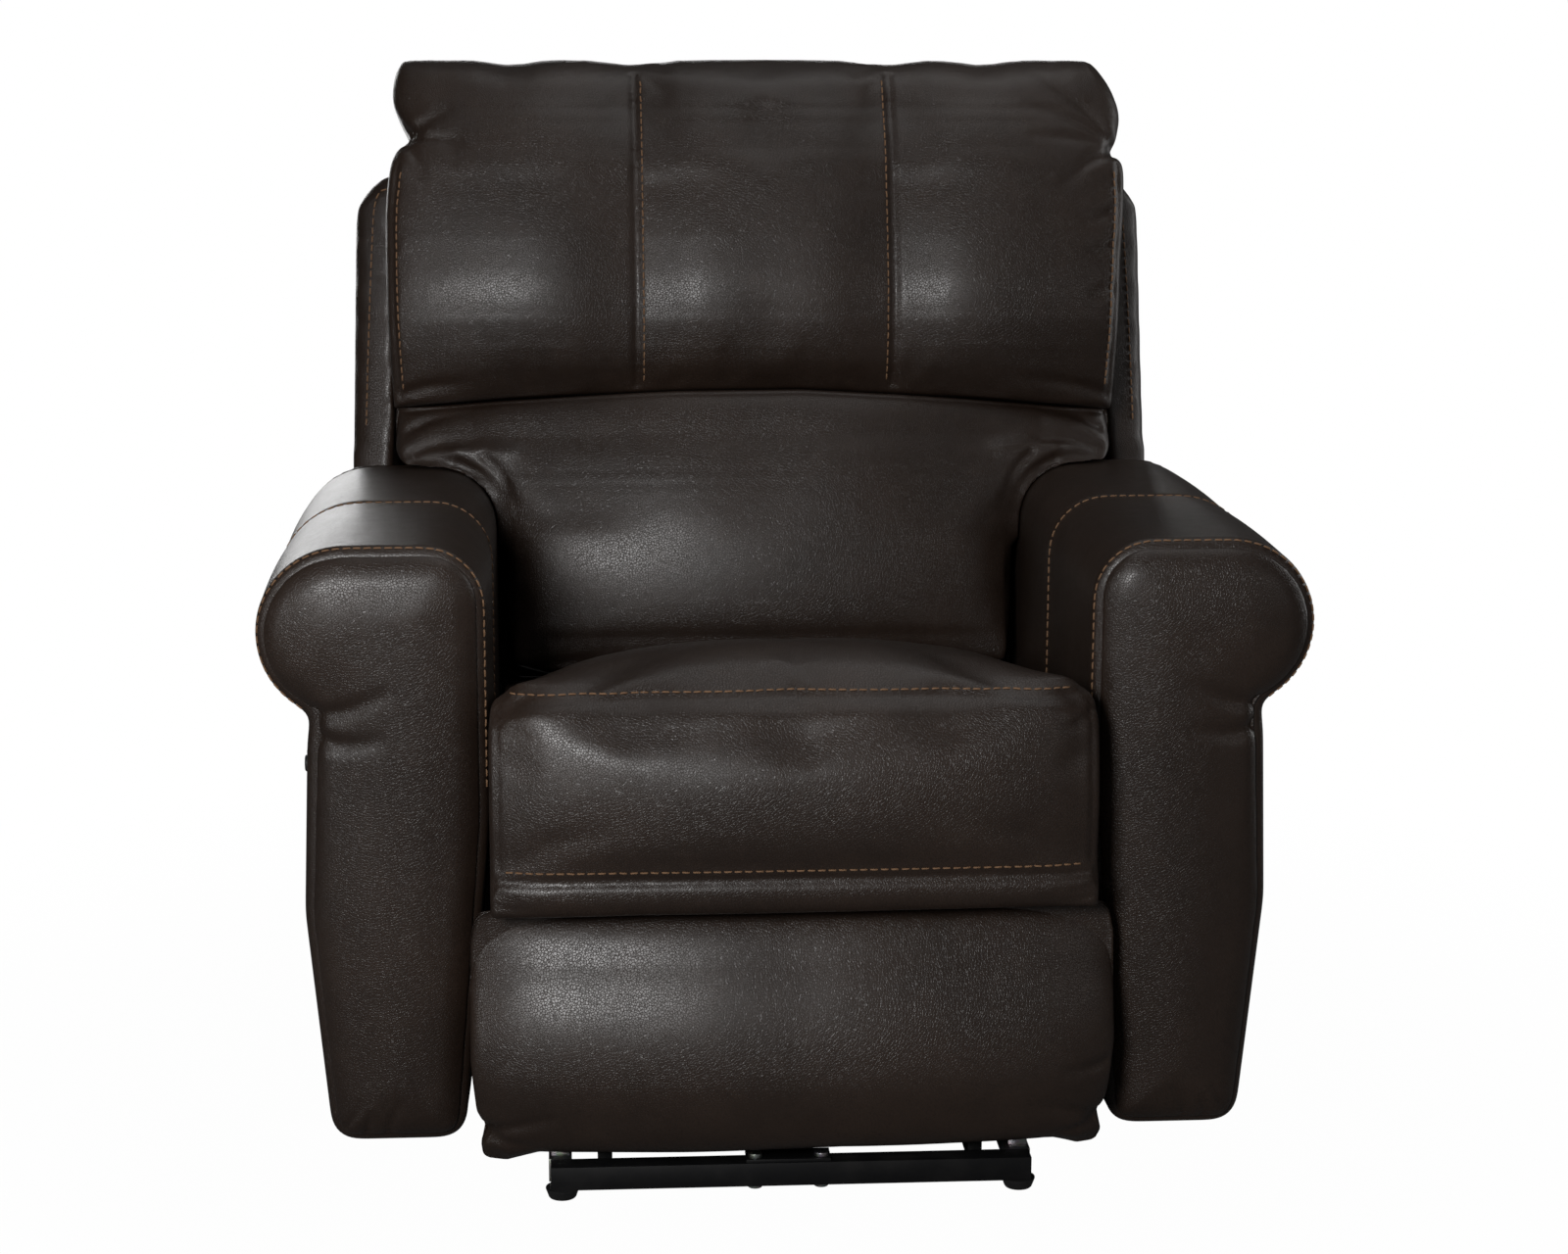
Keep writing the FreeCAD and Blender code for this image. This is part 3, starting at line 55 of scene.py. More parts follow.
camera_place = (-0.2286, -3.4991, 1.2978)
pan, pitch, roll = 0.0704, 0.2200, 0.0038
camera_data = bpy.data.cameras.new("studio_camera")
camera_data.sensor_width = sensor
camera_data.lens = focal_pixels / photo_width * sensor
camera = bpy.data.objects.new("studio_camera", camera_data)
bpy.context.scene.collection.objects.link(camera)
camera.matrix_world = (
    Matrix.Translation(camera_place)
    @ Matrix.Rotation(-pan, 4, "Z")
    @ Matrix.Rotation(math.pi / 2 - pitch, 4, "X")
    @ Matrix.Rotation(roll, 4, "Z")
)
bpy.context.scene.camera = camera


# Steel base and mechanism: cut tube, bar and plate with small broken edges. The tubes and links
# are powder coated black with a fine orange peel, and the bars, rails and pins are zinc plated.
class Value:
    """One output of a shader node; Python's operators on it add Math nodes."""

    def __init__(self, finish, socket):
        self.finish = finish
        self.socket = socket

    def math(self, operation, first, second):
        return self.finish.add("ShaderNodeMath", {"operation": operation}, {0: first, 1: second})

    def __add__(self, other):
        return self.math("ADD", self, other)

    def __radd__(self, other):
        return self.math("ADD", other, self)

    def __sub__(self, other):
        return self.math("SUBTRACT", self, other)

    def __rsub__(self, other):
        return self.math("SUBTRACT", other, self)

    def __mul__(self, other):
        return self.math("MULTIPLY", self, other)

    def __rmul__(self, other):
        return self.math("MULTIPLY", other, self)


class Finish:
    """A material: its tree, its shader, and the one method that adds a node."""

    def __init__(self, name, **sockets):
        self.material = bpy.data.materials.new(name)
        self.material.use_nodes = True
        self.tree = self.material.node_tree
        self.shader = self.tree.nodes["Principled BSDF"]
        self.place = self.add("ShaderNodeTexCoord", {}, {}, "Object")
        self.set(self.shader, sockets)

    def set(self, node, sockets):
        for key, value in sockets.items():
            socket = node.inputs[key.replace("_", " ") if isinstance(key, str) else key]
            if isinstance(value, Value):
                self.tree.links.new(value.socket, socket)
            else:
                socket.default_value = value

    def add(self, kind, settings, sockets, output=0):
        node = self.tree.nodes.new(kind)
        for key, value in settings.items():
            setattr(node, key, value)
        self.set(node, sockets)
        return Value(self, node.outputs[output])

    def noise(self, scale, detail=2.0, rough=0.5, place=None):
        sockets = {"Vector": place or self.place, "Scale": scale, "Detail": detail, "Roughness": rough}
        return self.add("ShaderNodeTexNoise", {}, sockets)

    def ramp(self, value, low, high):
        settings = {"interpolation_type": "SMOOTHSTEP"}
        sockets = {"Value": value, "From Min": low, "From Max": high}
        return self.add("ShaderNodeMapRange", settings, sockets)

    def mix(self, factor, first, second):
        return self.add("ShaderNodeMix", {"data_type": "RGBA"}, {0: factor, 6: first, 7: second}, 2)

    def bump(self, height, depth, strength=1.0):
        sockets = {"Height": height, "Distance": depth, "Strength": strength}
        self.set(self.shader, {"Normal": self.add("ShaderNodeBump", {}, sockets)})


def powder_coat():
    finish = Finish("black_powder_coat", Specular_IOR_Level=0.25)
    speck = finish.noise(900.0, 2.0)
    dust = finish.ramp(finish.noise(14.0, 4.0, 0.6), 0.45, 0.75)
    colour = finish.mix(dust, (0.005, 0.005, 0.0055, 1), (0.010, 0.0095, 0.0095, 1))
    finish.set(finish.shader, {"Base Color": colour, "Roughness": 0.46 + 0.12 * dust + 0.05 * speck})
    finish.bump(speck, 0.00012, 0.5)
    return finish.material


def zinc_plate():
    finish = Finish("zinc_plate")
    spangle = finish.add(
        "ShaderNodeTexVoronoi", {"feature": "F1"}, {"Vector": finish.place, "Scale": 160.0}, "Color"
    )
    tone = finish.mix(0.12, (0.50, 0.50, 0.49, 1), spangle)
    smear = finish.noise(35.0, 5.0, 0.6)
    brush = finish.noise(700.0, 1.0)
    finish.set(finish.shader, {"Base Color": tone, "Metallic": 1.0, "Roughness": 0.28 + 0.2 * smear})
    finish.bump(brush, 0.00006, 0.4)
    return finish.material


def deselect():
    if bpy.context.object and bpy.context.object.mode != "OBJECT":
        bpy.ops.object.mode_set(mode="OBJECT")
    bpy.ops.object.select_all(action="DESELECT")


def make_active(piece):
    deselect()
    piece.select_set(True)
    bpy.context.view_layer.objects.active = piece


def finish_modifier(piece, kind, **settings):
    modifier = piece.modifiers.new(kind.lower(), kind)
    for key, value in settings.items():
        setattr(modifier, key, value)
    make_active(piece)
    bpy.ops.object.modifier_apply(modifier=modifier.name)


nodes = frame["nodes"]


def copy_of(name, source):
    """A solid as a new mesh, its doubled points merged."""
    piece = bpy.data.objects.new(name, nodes[source].data.copy())
    piece.data.name = name
    piece.data.materials.clear()
    bpy.context.scene.collection.objects.link(piece)
    make_active(piece)
    bpy.ops.object.mode_set(mode="EDIT")
    bpy.ops.mesh.select_all(action="SELECT")
    bpy.ops.mesh.remove_doubles(threshold=1e-5)
    bpy.ops.object.mode_set(mode="OBJECT")
    return piece


def wear(piece, material):
    piece.data.materials.clear()
    piece.data.materials.append(material)


def soften(node, edge, material, body):
    """A hard piece with its edges broken, in the place of its solid."""
    piece = copy_of(node + "_finished", node)
    bpy.ops.object.mode_set(mode="EDIT")
    bpy.ops.mesh.select_all(action="SELECT")
    bpy.ops.mesh.dissolve_limited(angle_limit=math.radians(1.0))
    bpy.ops.object.mode_set(mode="OBJECT")
    limit = math.radians(40)
    finish_modifier(piece, "BEVEL", width=edge, segments=2, limit_method="ANGLE", angle_limit=limit)
    make_active(piece)
    bpy.ops.object.shade_smooth_by_angle(angle=math.radians(35))
    wear(piece, material)
    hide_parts(node)
    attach(piece, body)
    return piece


body_of = {}
for body, members in frame["record"]["behaviour"]["bodies"].items():
    for member in members:
        body_of[member] = body
slot_of = {entry["node"]: entry["material_slot"] for entry in frame["record"]["subparts"]}

steel_edges = {"black_steel": 0.0012, "zinc_steel": 0.0007}
steel_finish = {"black_steel": powder_coat(), "zinc_steel": zinc_plate()}
for node, slot in slot_of.items():
    if slot in steel_edges:
        soften(node, steel_edges[slot], steel_finish[slot], body_of[node])


# Plastic pieces: moulded housings of the two drives and the power inlet, and the nylon shoes,
# nut and glides. All are black, with a spark-eroded texture that is coarser on the housings.
def moulded(name, tone, grain, depth, rough):
    finish = Finish(name, Specular_IOR_Level=0.4)
    texture = finish.noise(grain, 3.0, 0.6)
    haze = finish.noise(20.0, 3.0)
    colour = finish.mix(haze, (tone, tone, tone, 1), (tone * 1.6, tone * 1.6, tone * 1.65, 1))
    finish.set(finish.shader, {"Base Color": colour, "Roughness": rough + 0.15 * texture})
    finish.bump(texture, depth, 0.6)
    return finish.material


housing_plastic = moulded("housing_plastic", 0.012, 1400.0, 0.0002, 0.42)
glide_nylon = moulded("glide_nylon", 0.010, 500.0, 0.00006, 0.30)
for node in ("recline_motor", "footrest_motor", "power_inlet"):
    soften(node, 0.003, housing_plastic, body_of[node])
for node in ("slide_shoes", "actuator_nut", "floor_glides"):
    soften(node, 0.0015, glide_nylon, body_of[node])


# Timber and webbing: softwood rails and plywood boards with their grain, given a dark tone as painted shade
# so that they read as shadow in the gaps under the cover, and black elastic straps stapled to the rails.
def shade_darkened_timber():
    finish = Finish("shade_darkened_timber", Specular_IOR_Level=0.25)
    along = finish.add("ShaderNodeMapping", {}, {"Vector": finish.place, "Scale": (1.0, 9.0, 9.0)})
    rings = finish.noise(16.0, 6.0, 0.62, along)
    pores = finish.noise(160.0, 2.0, 0.5, along)
    band = finish.ramp(rings, 0.35, 0.68)
    # the dark tone of both colours is painted shade for the gaps under the cover; the ring bands are the wood's
    # grain
    colour = finish.mix(band, (0.070, 0.042, 0.024, 1), (0.036, 0.020, 0.011, 1))
    finish.set(finish.shader, {"Base Color": colour, "Roughness": 0.62 + 0.15 * pores})
    finish.bump(pores, 0.0005, 0.5)
    return finish.material


def woven_strap():
    finish = Finish("woven_strap", Specular_IOR_Level=0.2)
    warp = finish.add(
        "ShaderNodeTexWave", {"bands_direction": "X"}, {"Vector": finish.place, "Scale": 110.0}
    )
    weft = finish.add(
        "ShaderNodeTexWave", {"bands_direction": "Y"}, {"Vector": finish.place, "Scale": 160.0}
    )
    weave = warp * weft
    colour = finish.mix(weave, (0.014, 0.014, 0.014, 1), (0.055, 0.055, 0.053, 1))
    finish.set(finish.shader, {"Base Color": colour, "Roughness": 0.85 - 0.1 * weave})
    finish.bump(weave, 0.0006, 0.8)
    return finish.material


timber = shade_darkened_timber()
strap = woven_strap()
for node, slot in slot_of.items():
    if slot == "timber":
        soften(node, 0.002, timber, body_of[node])
    if slot == "webbing":
        soften(node, 0.0004, strap, body_of[node])


# Seat cushion: a foam block under one leather cover, crowned on top and rolled over the front.
# A front band lies between two top-stitched seams, with a soft lip folded under the lower one.
def brown_leather():
    finish = Finish("brown_leather", Specular_IOR_Level=0.50)
    drift = finish.noise(60.0, 2.0)
    sway = finish.add("ShaderNodeTexNoise", {}, {"Vector": finish.place, "Scale": 45.0}, "Color")
    sockets = {0: 0.0016, 4: finish.place, 5: sway}
    wander = finish.add("ShaderNodeMix", {"data_type": "VECTOR"}, sockets, 1)
    cells = finish.add(
        "ShaderNodeTexVoronoi", {"feature": "DISTANCE_TO_EDGE"}, {"Vector": wander, "Scale": 380.0}
    )
    pebble = finish.ramp(cells, 0.0, 0.15)
    pores = finish.noise(1500.0, 2.0)
    patch = finish.noise(5.5, 4.0, 0.6)
    mottle = finish.noise(38.0, 4.0, 0.6)
    tone = finish.mix(
        finish.ramp(patch, 0.35, 0.68), (0.0200, 0.0121, 0.0084, 1), (0.0290, 0.0176, 0.0122, 1)
    )
    tone = finish.mix(finish.ramp(mottle, 0.48, 0.75) * 0.35, tone, (0.0360, 0.0220, 0.0152, 1))
    tone = finish.mix((1 - pebble) * 0.6, tone, (0.0120, 0.0072, 0.0050, 1))
    rough = 0.29 + 0.07 * mottle + 0.05 * drift + 0.06 * (1 - pebble)
    finish.set(finish.shader, {"Base Color": tone, "Roughness": rough})
    wave = finish.noise(17.0, 3.0)
    finish.bump(pebble * 0.80 + pores * 0.12 + mottle * 0.6 + wave * 3.2, 0.00027, 0.6)
    return finish.material


def copper_thread():
    finish = Finish("copper_thread", Specular_IOR_Level=0.3)
    ply = finish.noise(900.0, 2.0, 0.6)
    fade = finish.noise(24.0, 3.0)
    colour = finish.mix(fade, (0.150, 0.082, 0.043, 1), (0.240, 0.138, 0.075, 1))
    finish.set(finish.shader, {"Base Color": colour, "Roughness": 0.55 + 0.2 * ply})
    finish.bump(ply, 0.0004, 0.6)
    return finish.material


leather = brown_leather()
thread = copper_thread()


def points_of(piece):
    flat = np.empty(len(piece.data.vertices) * 3)
    piece.data.vertices.foreach_get("co", flat)
    return flat.reshape(-1, 3)


def normals_of(piece):
    flat = np.empty(len(piece.data.vertices) * 3)
    piece.data.vertices.foreach_get("normal", flat)
    return flat.reshape(-1, 3)


def put_points(piece, points):
    piece.data.vertices.foreach_set("co", np.ascontiguousarray(points).ravel())
    piece.data.update()


def skin_of(piece):
    faces = [tuple(polygon.vertices) for polygon in piece.data.polygons]
    return BVHTree.FromPolygons([tuple(p) for p in points_of(piece)], faces)


def laid_on(skin, path, looking, away=2.0):
    """The path's points dropped onto the skin along one direction."""
    direction = Vector(looking)
    laid = []
    for point in path:
        hit = skin.ray_cast(Vector(point) - direction * away, direction)
        if hit[0] is not None:
            laid.append((hit[0], hit[1]))
    return laid


def eased(path, step=0.004):
    """A smooth line through given points, in even steps."""
    points = [np.array(p, float) for p in path]
    points = [2 * points[0] - points[1]] + points + [2 * points[-1] - points[-2]]
    line = []
    for a, b, c, d in zip(points, points[1:], points[2:], points[3:]):
        count = max(2, int(np.linalg.norm(c - b) / step))
        for t in np.linspace(0, 1, count, endpoint=False):
            bend = (2 * a - 5 * b + 4 * c - d) * t**2 + (3 * b - a - 3 * c + d) * t**3
            line.append(0.5 * (2 * b + (c - a) * t + bend))
    line.append(points[-2])
    return line


def press(piece, line, depth, width, taper=0.0):
    """Pushes the leather in along a line on it, or raises it where depth is negative."""
    points, normals = points_of(piece), normals_of(piece)
    line = np.array([tuple(p) for p in line])
    near = np.all((points > line.min(0) - 3 * width) & (points < line.max(0) + 3 * width), axis=1)
    chosen = np.where(near)[0]
    nearest = np.full(len(chosen), np.inf)
    place = np.zeros(len(chosen))
    for number, spot in enumerate(line):
        gap = ((points[chosen] - spot) ** 2).sum(1)
        closer = gap < nearest
        nearest[closer] = gap[closer]
        place[closer] = number / max(1, len(line) - 1)
    strength = np.exp(-nearest / width**2)
    if taper > 0:
        strength = strength * np.clip((1 - place) / taper, 0, 1) ** 0.8
    points[chosen] -= normals[chosen] * (depth * strength)[:, None]
    put_points(piece, points)


def groove(piece, path, looking, depth, width):
    """A seam pressed in along a drawn line."""
    press(piece, [p for p, n in laid_on(skin_of(piece), eased(path), looking)], depth, width)


def creases(piece, looking, depth, width, *paths):
    """Drawn folds that start deep at a seam or corner and run out over the leather."""
    skin = skin_of(piece)
    for path in paths:
        line = [p for p, n in laid_on(skin, eased(path), looking)]
        if line:
            press(piece, line, depth, width, 0.8)


def fit_edge(points, along, across, target, reach, share=1.0):
    """Moves the outer part of a form until its edge follows the target; reach is negative for
    the lower edge."""
    side = math.copysign(1.0, reach)
    places, values = np.array(target).T
    place, value = points[:, along], points[:, across] * side
    step = 0.008
    bins = np.floor((place - place.min()) / step).astype(int)
    edge = np.full(bins.max() + 1, -1e9)
    np.maximum.at(edge, bins, value)
    centres = place.min() + (np.arange(len(edge)) + 0.5) * step
    here = np.interp(place, centres, edge)
    weight = np.clip(1 - (here - value) / abs(reach), 0, 1)
    weight = weight * weight * (3 - 2 * weight)
    points[:, across] += side * (np.interp(place, places, values) * side - here) * weight * share


def fade(values, start, end):
    """0 at start to 1 at end, eased."""
    share = np.clip((values - start) / (end - start), 0, 1)
    return share * share * (3 - 2 * share)


def remesh(piece, size):
    finish_modifier(piece, "REMESH", mode="VOXEL", voxel_size=size)


def relax(piece, rounds):
    finish_modifier(piece, "SMOOTH", iterations=rounds, factor=0.5)


def refine(piece):
    finish_modifier(piece, "SUBSURF", levels=1, render_levels=1)


def fill_out(piece, sewn, pressure, cap, slack, frames=12):
    """Blows the cover up over its filling by cloth simulation, with the sewn points held."""
    start = points_of(piece)
    group = piece.vertex_groups.new(name="sewn")
    group.add([int(i) for i in np.where(sewn)[0]], 1.0, "REPLACE")
    cloth = piece.modifiers.new("cover", "CLOTH")
    settings = cloth.settings
    settings.quality = 4
    settings.use_pressure = True
    settings.uniform_pressure_force = pressure
    settings.vertex_group_mass = "sewn"
    settings.shrink_min = -slack
    settings.effector_weights.gravity = 0
    settings.bending_stiffness = 6.0
    settings.tension_stiffness = 30
    settings.compression_stiffness = 30
    cloth.collision_settings.use_collision = False
    cloth.point_cache.frame_start = 1
    cloth.point_cache.frame_end = frames
    for number in range(1, frames + 1):
        bpy.context.scene.frame_set(number)
    make_active(piece)
    bpy.ops.object.modifier_apply(modifier=cloth.name)
    bpy.context.scene.frame_set(1)
    move = points_of(piece) - start
    length = np.linalg.norm(move, axis=1, keepdims=True)
    held = cap * np.tanh(length / cap) / np.maximum(length, 1e-9)
    put_points(piece, start + move * held)
    piece.vertex_groups.clear()


def shrink(piece, amount):
    put_points(piece, points_of(piece) - normals_of(piece) * amount)


def smooth_look(piece):
    make_active(piece)
    bpy.ops.object.shade_smooth()


def upholster(piece, body, fill, *replaced):
    smooth_look(piece)
    wear(piece, leather)
    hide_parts(*replaced)
    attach(piece, body)


rng = np.random.default_rng(7)
stitch_pitch = 0.0104
stitch_length = 0.0084
stitch_radius = 0.00100


def stitch_form():
    """One stitch of thick thread: a short bar with drawn-in ends, along X."""
    deselect()
    bpy.ops.mesh.primitive_cylinder_add(vertices=6, radius=stitch_radius, depth=stitch_length)
    form = bpy.context.object
    bpy.ops.object.mode_set(mode="EDIT")
    bpy.ops.mesh.select_all(action="SELECT")
    bpy.ops.transform.rotate(value=math.pi / 2, orient_axis="Y", center_override=(0, 0, 0))
    bpy.ops.mesh.select_mode(type="FACE")
    bpy.ops.mesh.select_all(action="DESELECT")
    bpy.ops.object.mode_set(mode="OBJECT")
    for polygon in form.data.polygons:
        polygon.select = len(polygon.vertices) == 6
    bpy.ops.object.mode_set(mode="EDIT")
    bpy.ops.mesh.inset(thickness=stitch_radius * 0.5, depth=0)
    bpy.ops.object.mode_set(mode="OBJECT")
    points = points_of(form)
    ends = np.abs(points[:, 0]) > stitch_length * 0.45
    inner = np.hypot(points[:, 1], points[:, 2]) < stitch_radius * 0.7
    points[ends & ~inner, 0] *= 0.72
    points[ends & inner, 2] -= stitch_radius
    faces = [tuple(p.vertices) for p in form.data.polygons]
    bpy.data.objects.remove(form)
    return points, faces


stitch_points, stitch_faces = stitch_form()


def sew(name, line, body):
    """A row of stitches along a line of places and normals on the leather."""
    places = np.array([tuple(p) for p, n in line])
    ups = np.array([tuple(n) for p, n in line])
    steps = np.linalg.norm(np.diff(places, axis=0), axis=1)
    run = np.concatenate([[0], np.cumsum(steps)])
    count = int(run[-1] / stitch_pitch)
    points, faces = [], []
    for number in range(count):
        at = (number + 0.5) * stitch_pitch + rng.normal(0, 0.0003)
        middle = np.array([np.interp(at, run, places[:, k]) for k in range(3)])
        ahead = np.array([np.interp(at + 0.003, run, places[:, k]) for k in range(3)])
        behind = np.array([np.interp(at - 0.003, run, places[:, k]) for k in range(3)])
        up = np.array([np.interp(at, run, ups[:, k]) for k in range(3)])
        along = (ahead - behind) / max(np.linalg.norm(ahead - behind), 1e-9)
        across = np.cross(up, along)
        across /= max(np.linalg.norm(across), 1e-9)
        up = np.cross(along, across)
        tilt = rng.normal(0, 0.05)
        along = along * math.cos(tilt) + across * math.sin(tilt)
        across = np.cross(up, along)
        base = len(points) * len(stitch_points)
        turned = stitch_points @ np.array([along, across, up])
        points.append(turned + middle + up * (stitch_radius * 0.45))
        faces += [tuple(i + base for i in face) for face in stitch_faces]
    mesh = bpy.data.meshes.new(name)
    mesh.from_pydata(np.concatenate(points).tolist(), [], faces)
    row = bpy.data.objects.new(name, mesh)
    bpy.context.scene.collection.objects.link(row)
    smooth_look(row)
    wear(row, thread)
    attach(row, body)


from_front = (0.0, 1.0, 0.0)
seat_low, seat_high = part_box("seat_cushion")
seat_upper_seam = 0.536
seat_lower_seam = 0.365
seat_side = 0.3065
seat_edge = 0.298
seat_dome = 0.034
seat_rise = 0.007
seat_fall = 0.15
band_lean = 0.014
band_crown = 0.009
seat_lip = [
    (-0.31, 0.3185), (-0.27, 0.3195), (-0.15, 0.3225), (0.1, 0.3235), (0.25, 0.3230), (0.31, 0.3205),
]

seat = copy_of("seat_cushion_cover", "seat_cushion")
remesh(seat, 0.0074)
shrink(seat, 0.004)
relax(seat, 6)
points, normals = points_of(seat), normals_of(seat)
front_face = points[:, 1] < seat_low.y + 0.035
sewn = (normals[:, 2] < -0.5) & ~front_face
sewn |= points[:, 1] > seat_high.y - 0.02
sewn |= front_face & (np.abs(points[:, 2] - seat_lower_seam) < 0.006)
sewn |= np.abs(points[:, 0]) > seat_high.x - 0.006
fill_out(seat, sewn, pressure=3.0, cap=0.012, slack=-0.002)
relax(seat, 5)
refine(seat)
points = points_of(seat)
upward = fade(points[:, 2], 0.40, 0.53)
behind = points[:, 1] - seat_low.y
fallen = (np.abs(points[:, 0]) / seat_side) ** 2.4 * fade(behind, 0.05, 0.16)
points[:, 2] -= upward * seat_dome * fallen
points[:, 2] += upward * seat_rise * fade(behind, 0.04, 0.14)
points[:, 2] -= upward * seat_fall * np.maximum(behind - 0.18, 0)
band = 1 - fade(behind, 0.02, 0.10)
points[:, 1] += band_crown * (points[:, 0] / seat_side) ** 2 * band
points[:, 1] += band_lean * fade(points[:, 2], 0.39, 0.54) * band
front_share = 1 - fade(points[:, 1], seat_low.y + 0.05, seat_low.y + 0.14)
for side in (-1, 1):
    fit_edge(points, 2, 0, [(0, side * seat_side), (1, side * seat_side)], side * 0.02, front_share)
fit_edge(points, 0, 2, seat_lip, -0.03, front_share)
put_points(seat, points)
relax(seat, 1)


def across_front(piece, height, reach, sag=0.0, samples=9):
    """A level line over the front of a piece, as seen from the front."""
    places = np.linspace(-reach, reach, samples)
    path = [(x, 0.0, height + sag * (1 - (x / reach) ** 2)) for x in places]
    return laid_on(skin_of(piece), eased(path), from_front)


upper = across_front(seat, seat_upper_seam, seat_side - 0.004, 0.004)
press(seat, [p for p, n in upper], 0.0015, 0.0060)
lower = across_front(seat, seat_lower_seam - 0.006, seat_side - 0.004, 0.003)
press(seat, [p for p, n in lower], 0.0035, 0.0055)
for side in (-1, 1):
    path = [(side * seat_edge, 0, z) for z in (0.528, 0.45, 0.372)]
    groove(seat, path, from_front, depth=0.0022, width=0.0035)
    creases(
        seat, from_front, 0.0025, 0.0050,
        [(side * 0.303, 0, 0.350), (side * 0.288, 0, 0.343), (side * 0.268, 0, 0.340)],
        [(side * 0.300, 0, 0.336), (side * 0.285, 0, 0.332), (side * 0.262, 0, 0.333)],
        [(side * 0.302, 0, 0.522), (side * 0.285, 0, 0.512), (side * 0.262, 0, 0.506)],
    )
sew("seat_upper_stitches", across_front(seat, seat_upper_seam + 0.005, 0.297, 0.004), "seat_body")
sew("seat_lower_stitches", across_front(seat, seat_lower_seam + 0.004, 0.292, 0.003), "seat_body")
upholster(seat, "seat_body", 0.8, "seat_cushion")


# Arms: foam over a timber frame, covered in leather that wraps from the inner face over a flat
# top and round the outer roll. A second seam crosses the arm halfway, and the front panel is a
# shallow pillow sewn inside the wrap's rolled edge; a flat panel closes the rear.
arm_ring = 320
arm_row = 0.005
arm_inner = 0.308
arm_outer = 0.540
arm_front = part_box("left_arm_front_panel")[0].y
arm_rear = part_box("right_arm_cover")[1].y
arm_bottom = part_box("right_arm_front_panel")[0].z
arm_top_front = 0.682
arm_fall = 0.018 / 0.612
arm_roll = 0.090
arm_corner = 0.062
arm_taper = 0.028
arm_knee = 0.400
arm_waist = (0.4870, 0.5080)
arm_side = (0.4980, 0.298)
arm_foot = 0.478
arm_foot_round = 0.026
arm_seam = arm_front + 0.313
wrap_front = arm_front + 0.0125
wrap_round = 0.012


def arc(centre, radius, start, end, count):
    """Points of a round stretch, by its angles."""
    turns = np.linspace(start, end, count)
    return [(centre[0] + radius * math.cos(a), centre[1] + radius * math.sin(a)) for a in turns]


def arm_outline(y, count):
    """The P-shaped section of the right arm, evenly spaced, from the inner foot over the top."""
    top = arm_top_front - arm_fall * (y - arm_front)
    line = [(arm_inner, arm_knee), (arm_inner, top - arm_corner * 1.5)]
    corner = (arm_inner + arm_corner, top - arm_corner)
    line += arc(corner, arm_corner, math.pi, math.pi / 2, 14)
    roll = (arm_outer - arm_roll, top - arm_roll)
    line += arc(roll, arm_roll, math.pi / 2, math.radians(-58), 40)
    drop = top - arm_top_front
    waist = (arm_waist[0], arm_waist[1] + drop)
    line += [waist, (waist[0] + 0.004, waist[1] - 0.030), arm_side]
    foot = (arm_foot - arm_foot_round, arm_bottom + arm_foot_round)
    line += arc(foot, arm_foot_round, 0, -math.pi / 2, 8)
    foot = (arm_inner + arm_taper + arm_foot_round, arm_bottom + arm_foot_round)
    line += arc(foot, arm_foot_round, -math.pi / 2, -math.pi, 8)
    line = np.array(line)
    closed = np.vstack([line, line[:1]])
    run = np.concatenate([[0], np.cumsum(np.linalg.norm(np.diff(closed, axis=0), axis=1))])
    at = np.linspace(0, run[-1], count, endpoint=False)
    ring = np.stack([np.interp(at, run, closed[:, k]) for k in (0, 1)], axis=1)
    for turn in range(6):
        ring = 0.5 * ring + 0.25 * (np.roll(ring, 1, axis=0) + np.roll(ring, -1, axis=0))
    return ring


def outward_of(ring):
    """The outward directions along a section drawn as arm_outline draws it."""
    along = np.roll(ring, -1, axis=0) - np.roll(ring, 1, axis=0)
    out = np.stack([-along[:, 1], along[:, 0]], axis=1)
    return out / np.linalg.norm(out, axis=1, keepdims=True)


def inside_of(ring, flat):
    """How deep flat points lie inside a section, and the number of its nearest point."""
    gap = np.full(len(flat), np.inf)
    nearest = np.zeros(len(flat), int)
    for number, spot in enumerate(ring):
        away = np.linalg.norm(flat - spot, axis=1)
        nearest[away < gap] = number
        gap = np.minimum(gap, away)
    within = ((flat - ring[nearest]) * outward_of(ring)[nearest]).sum(1) < 0
    return np.where(within, gap, -gap), nearest


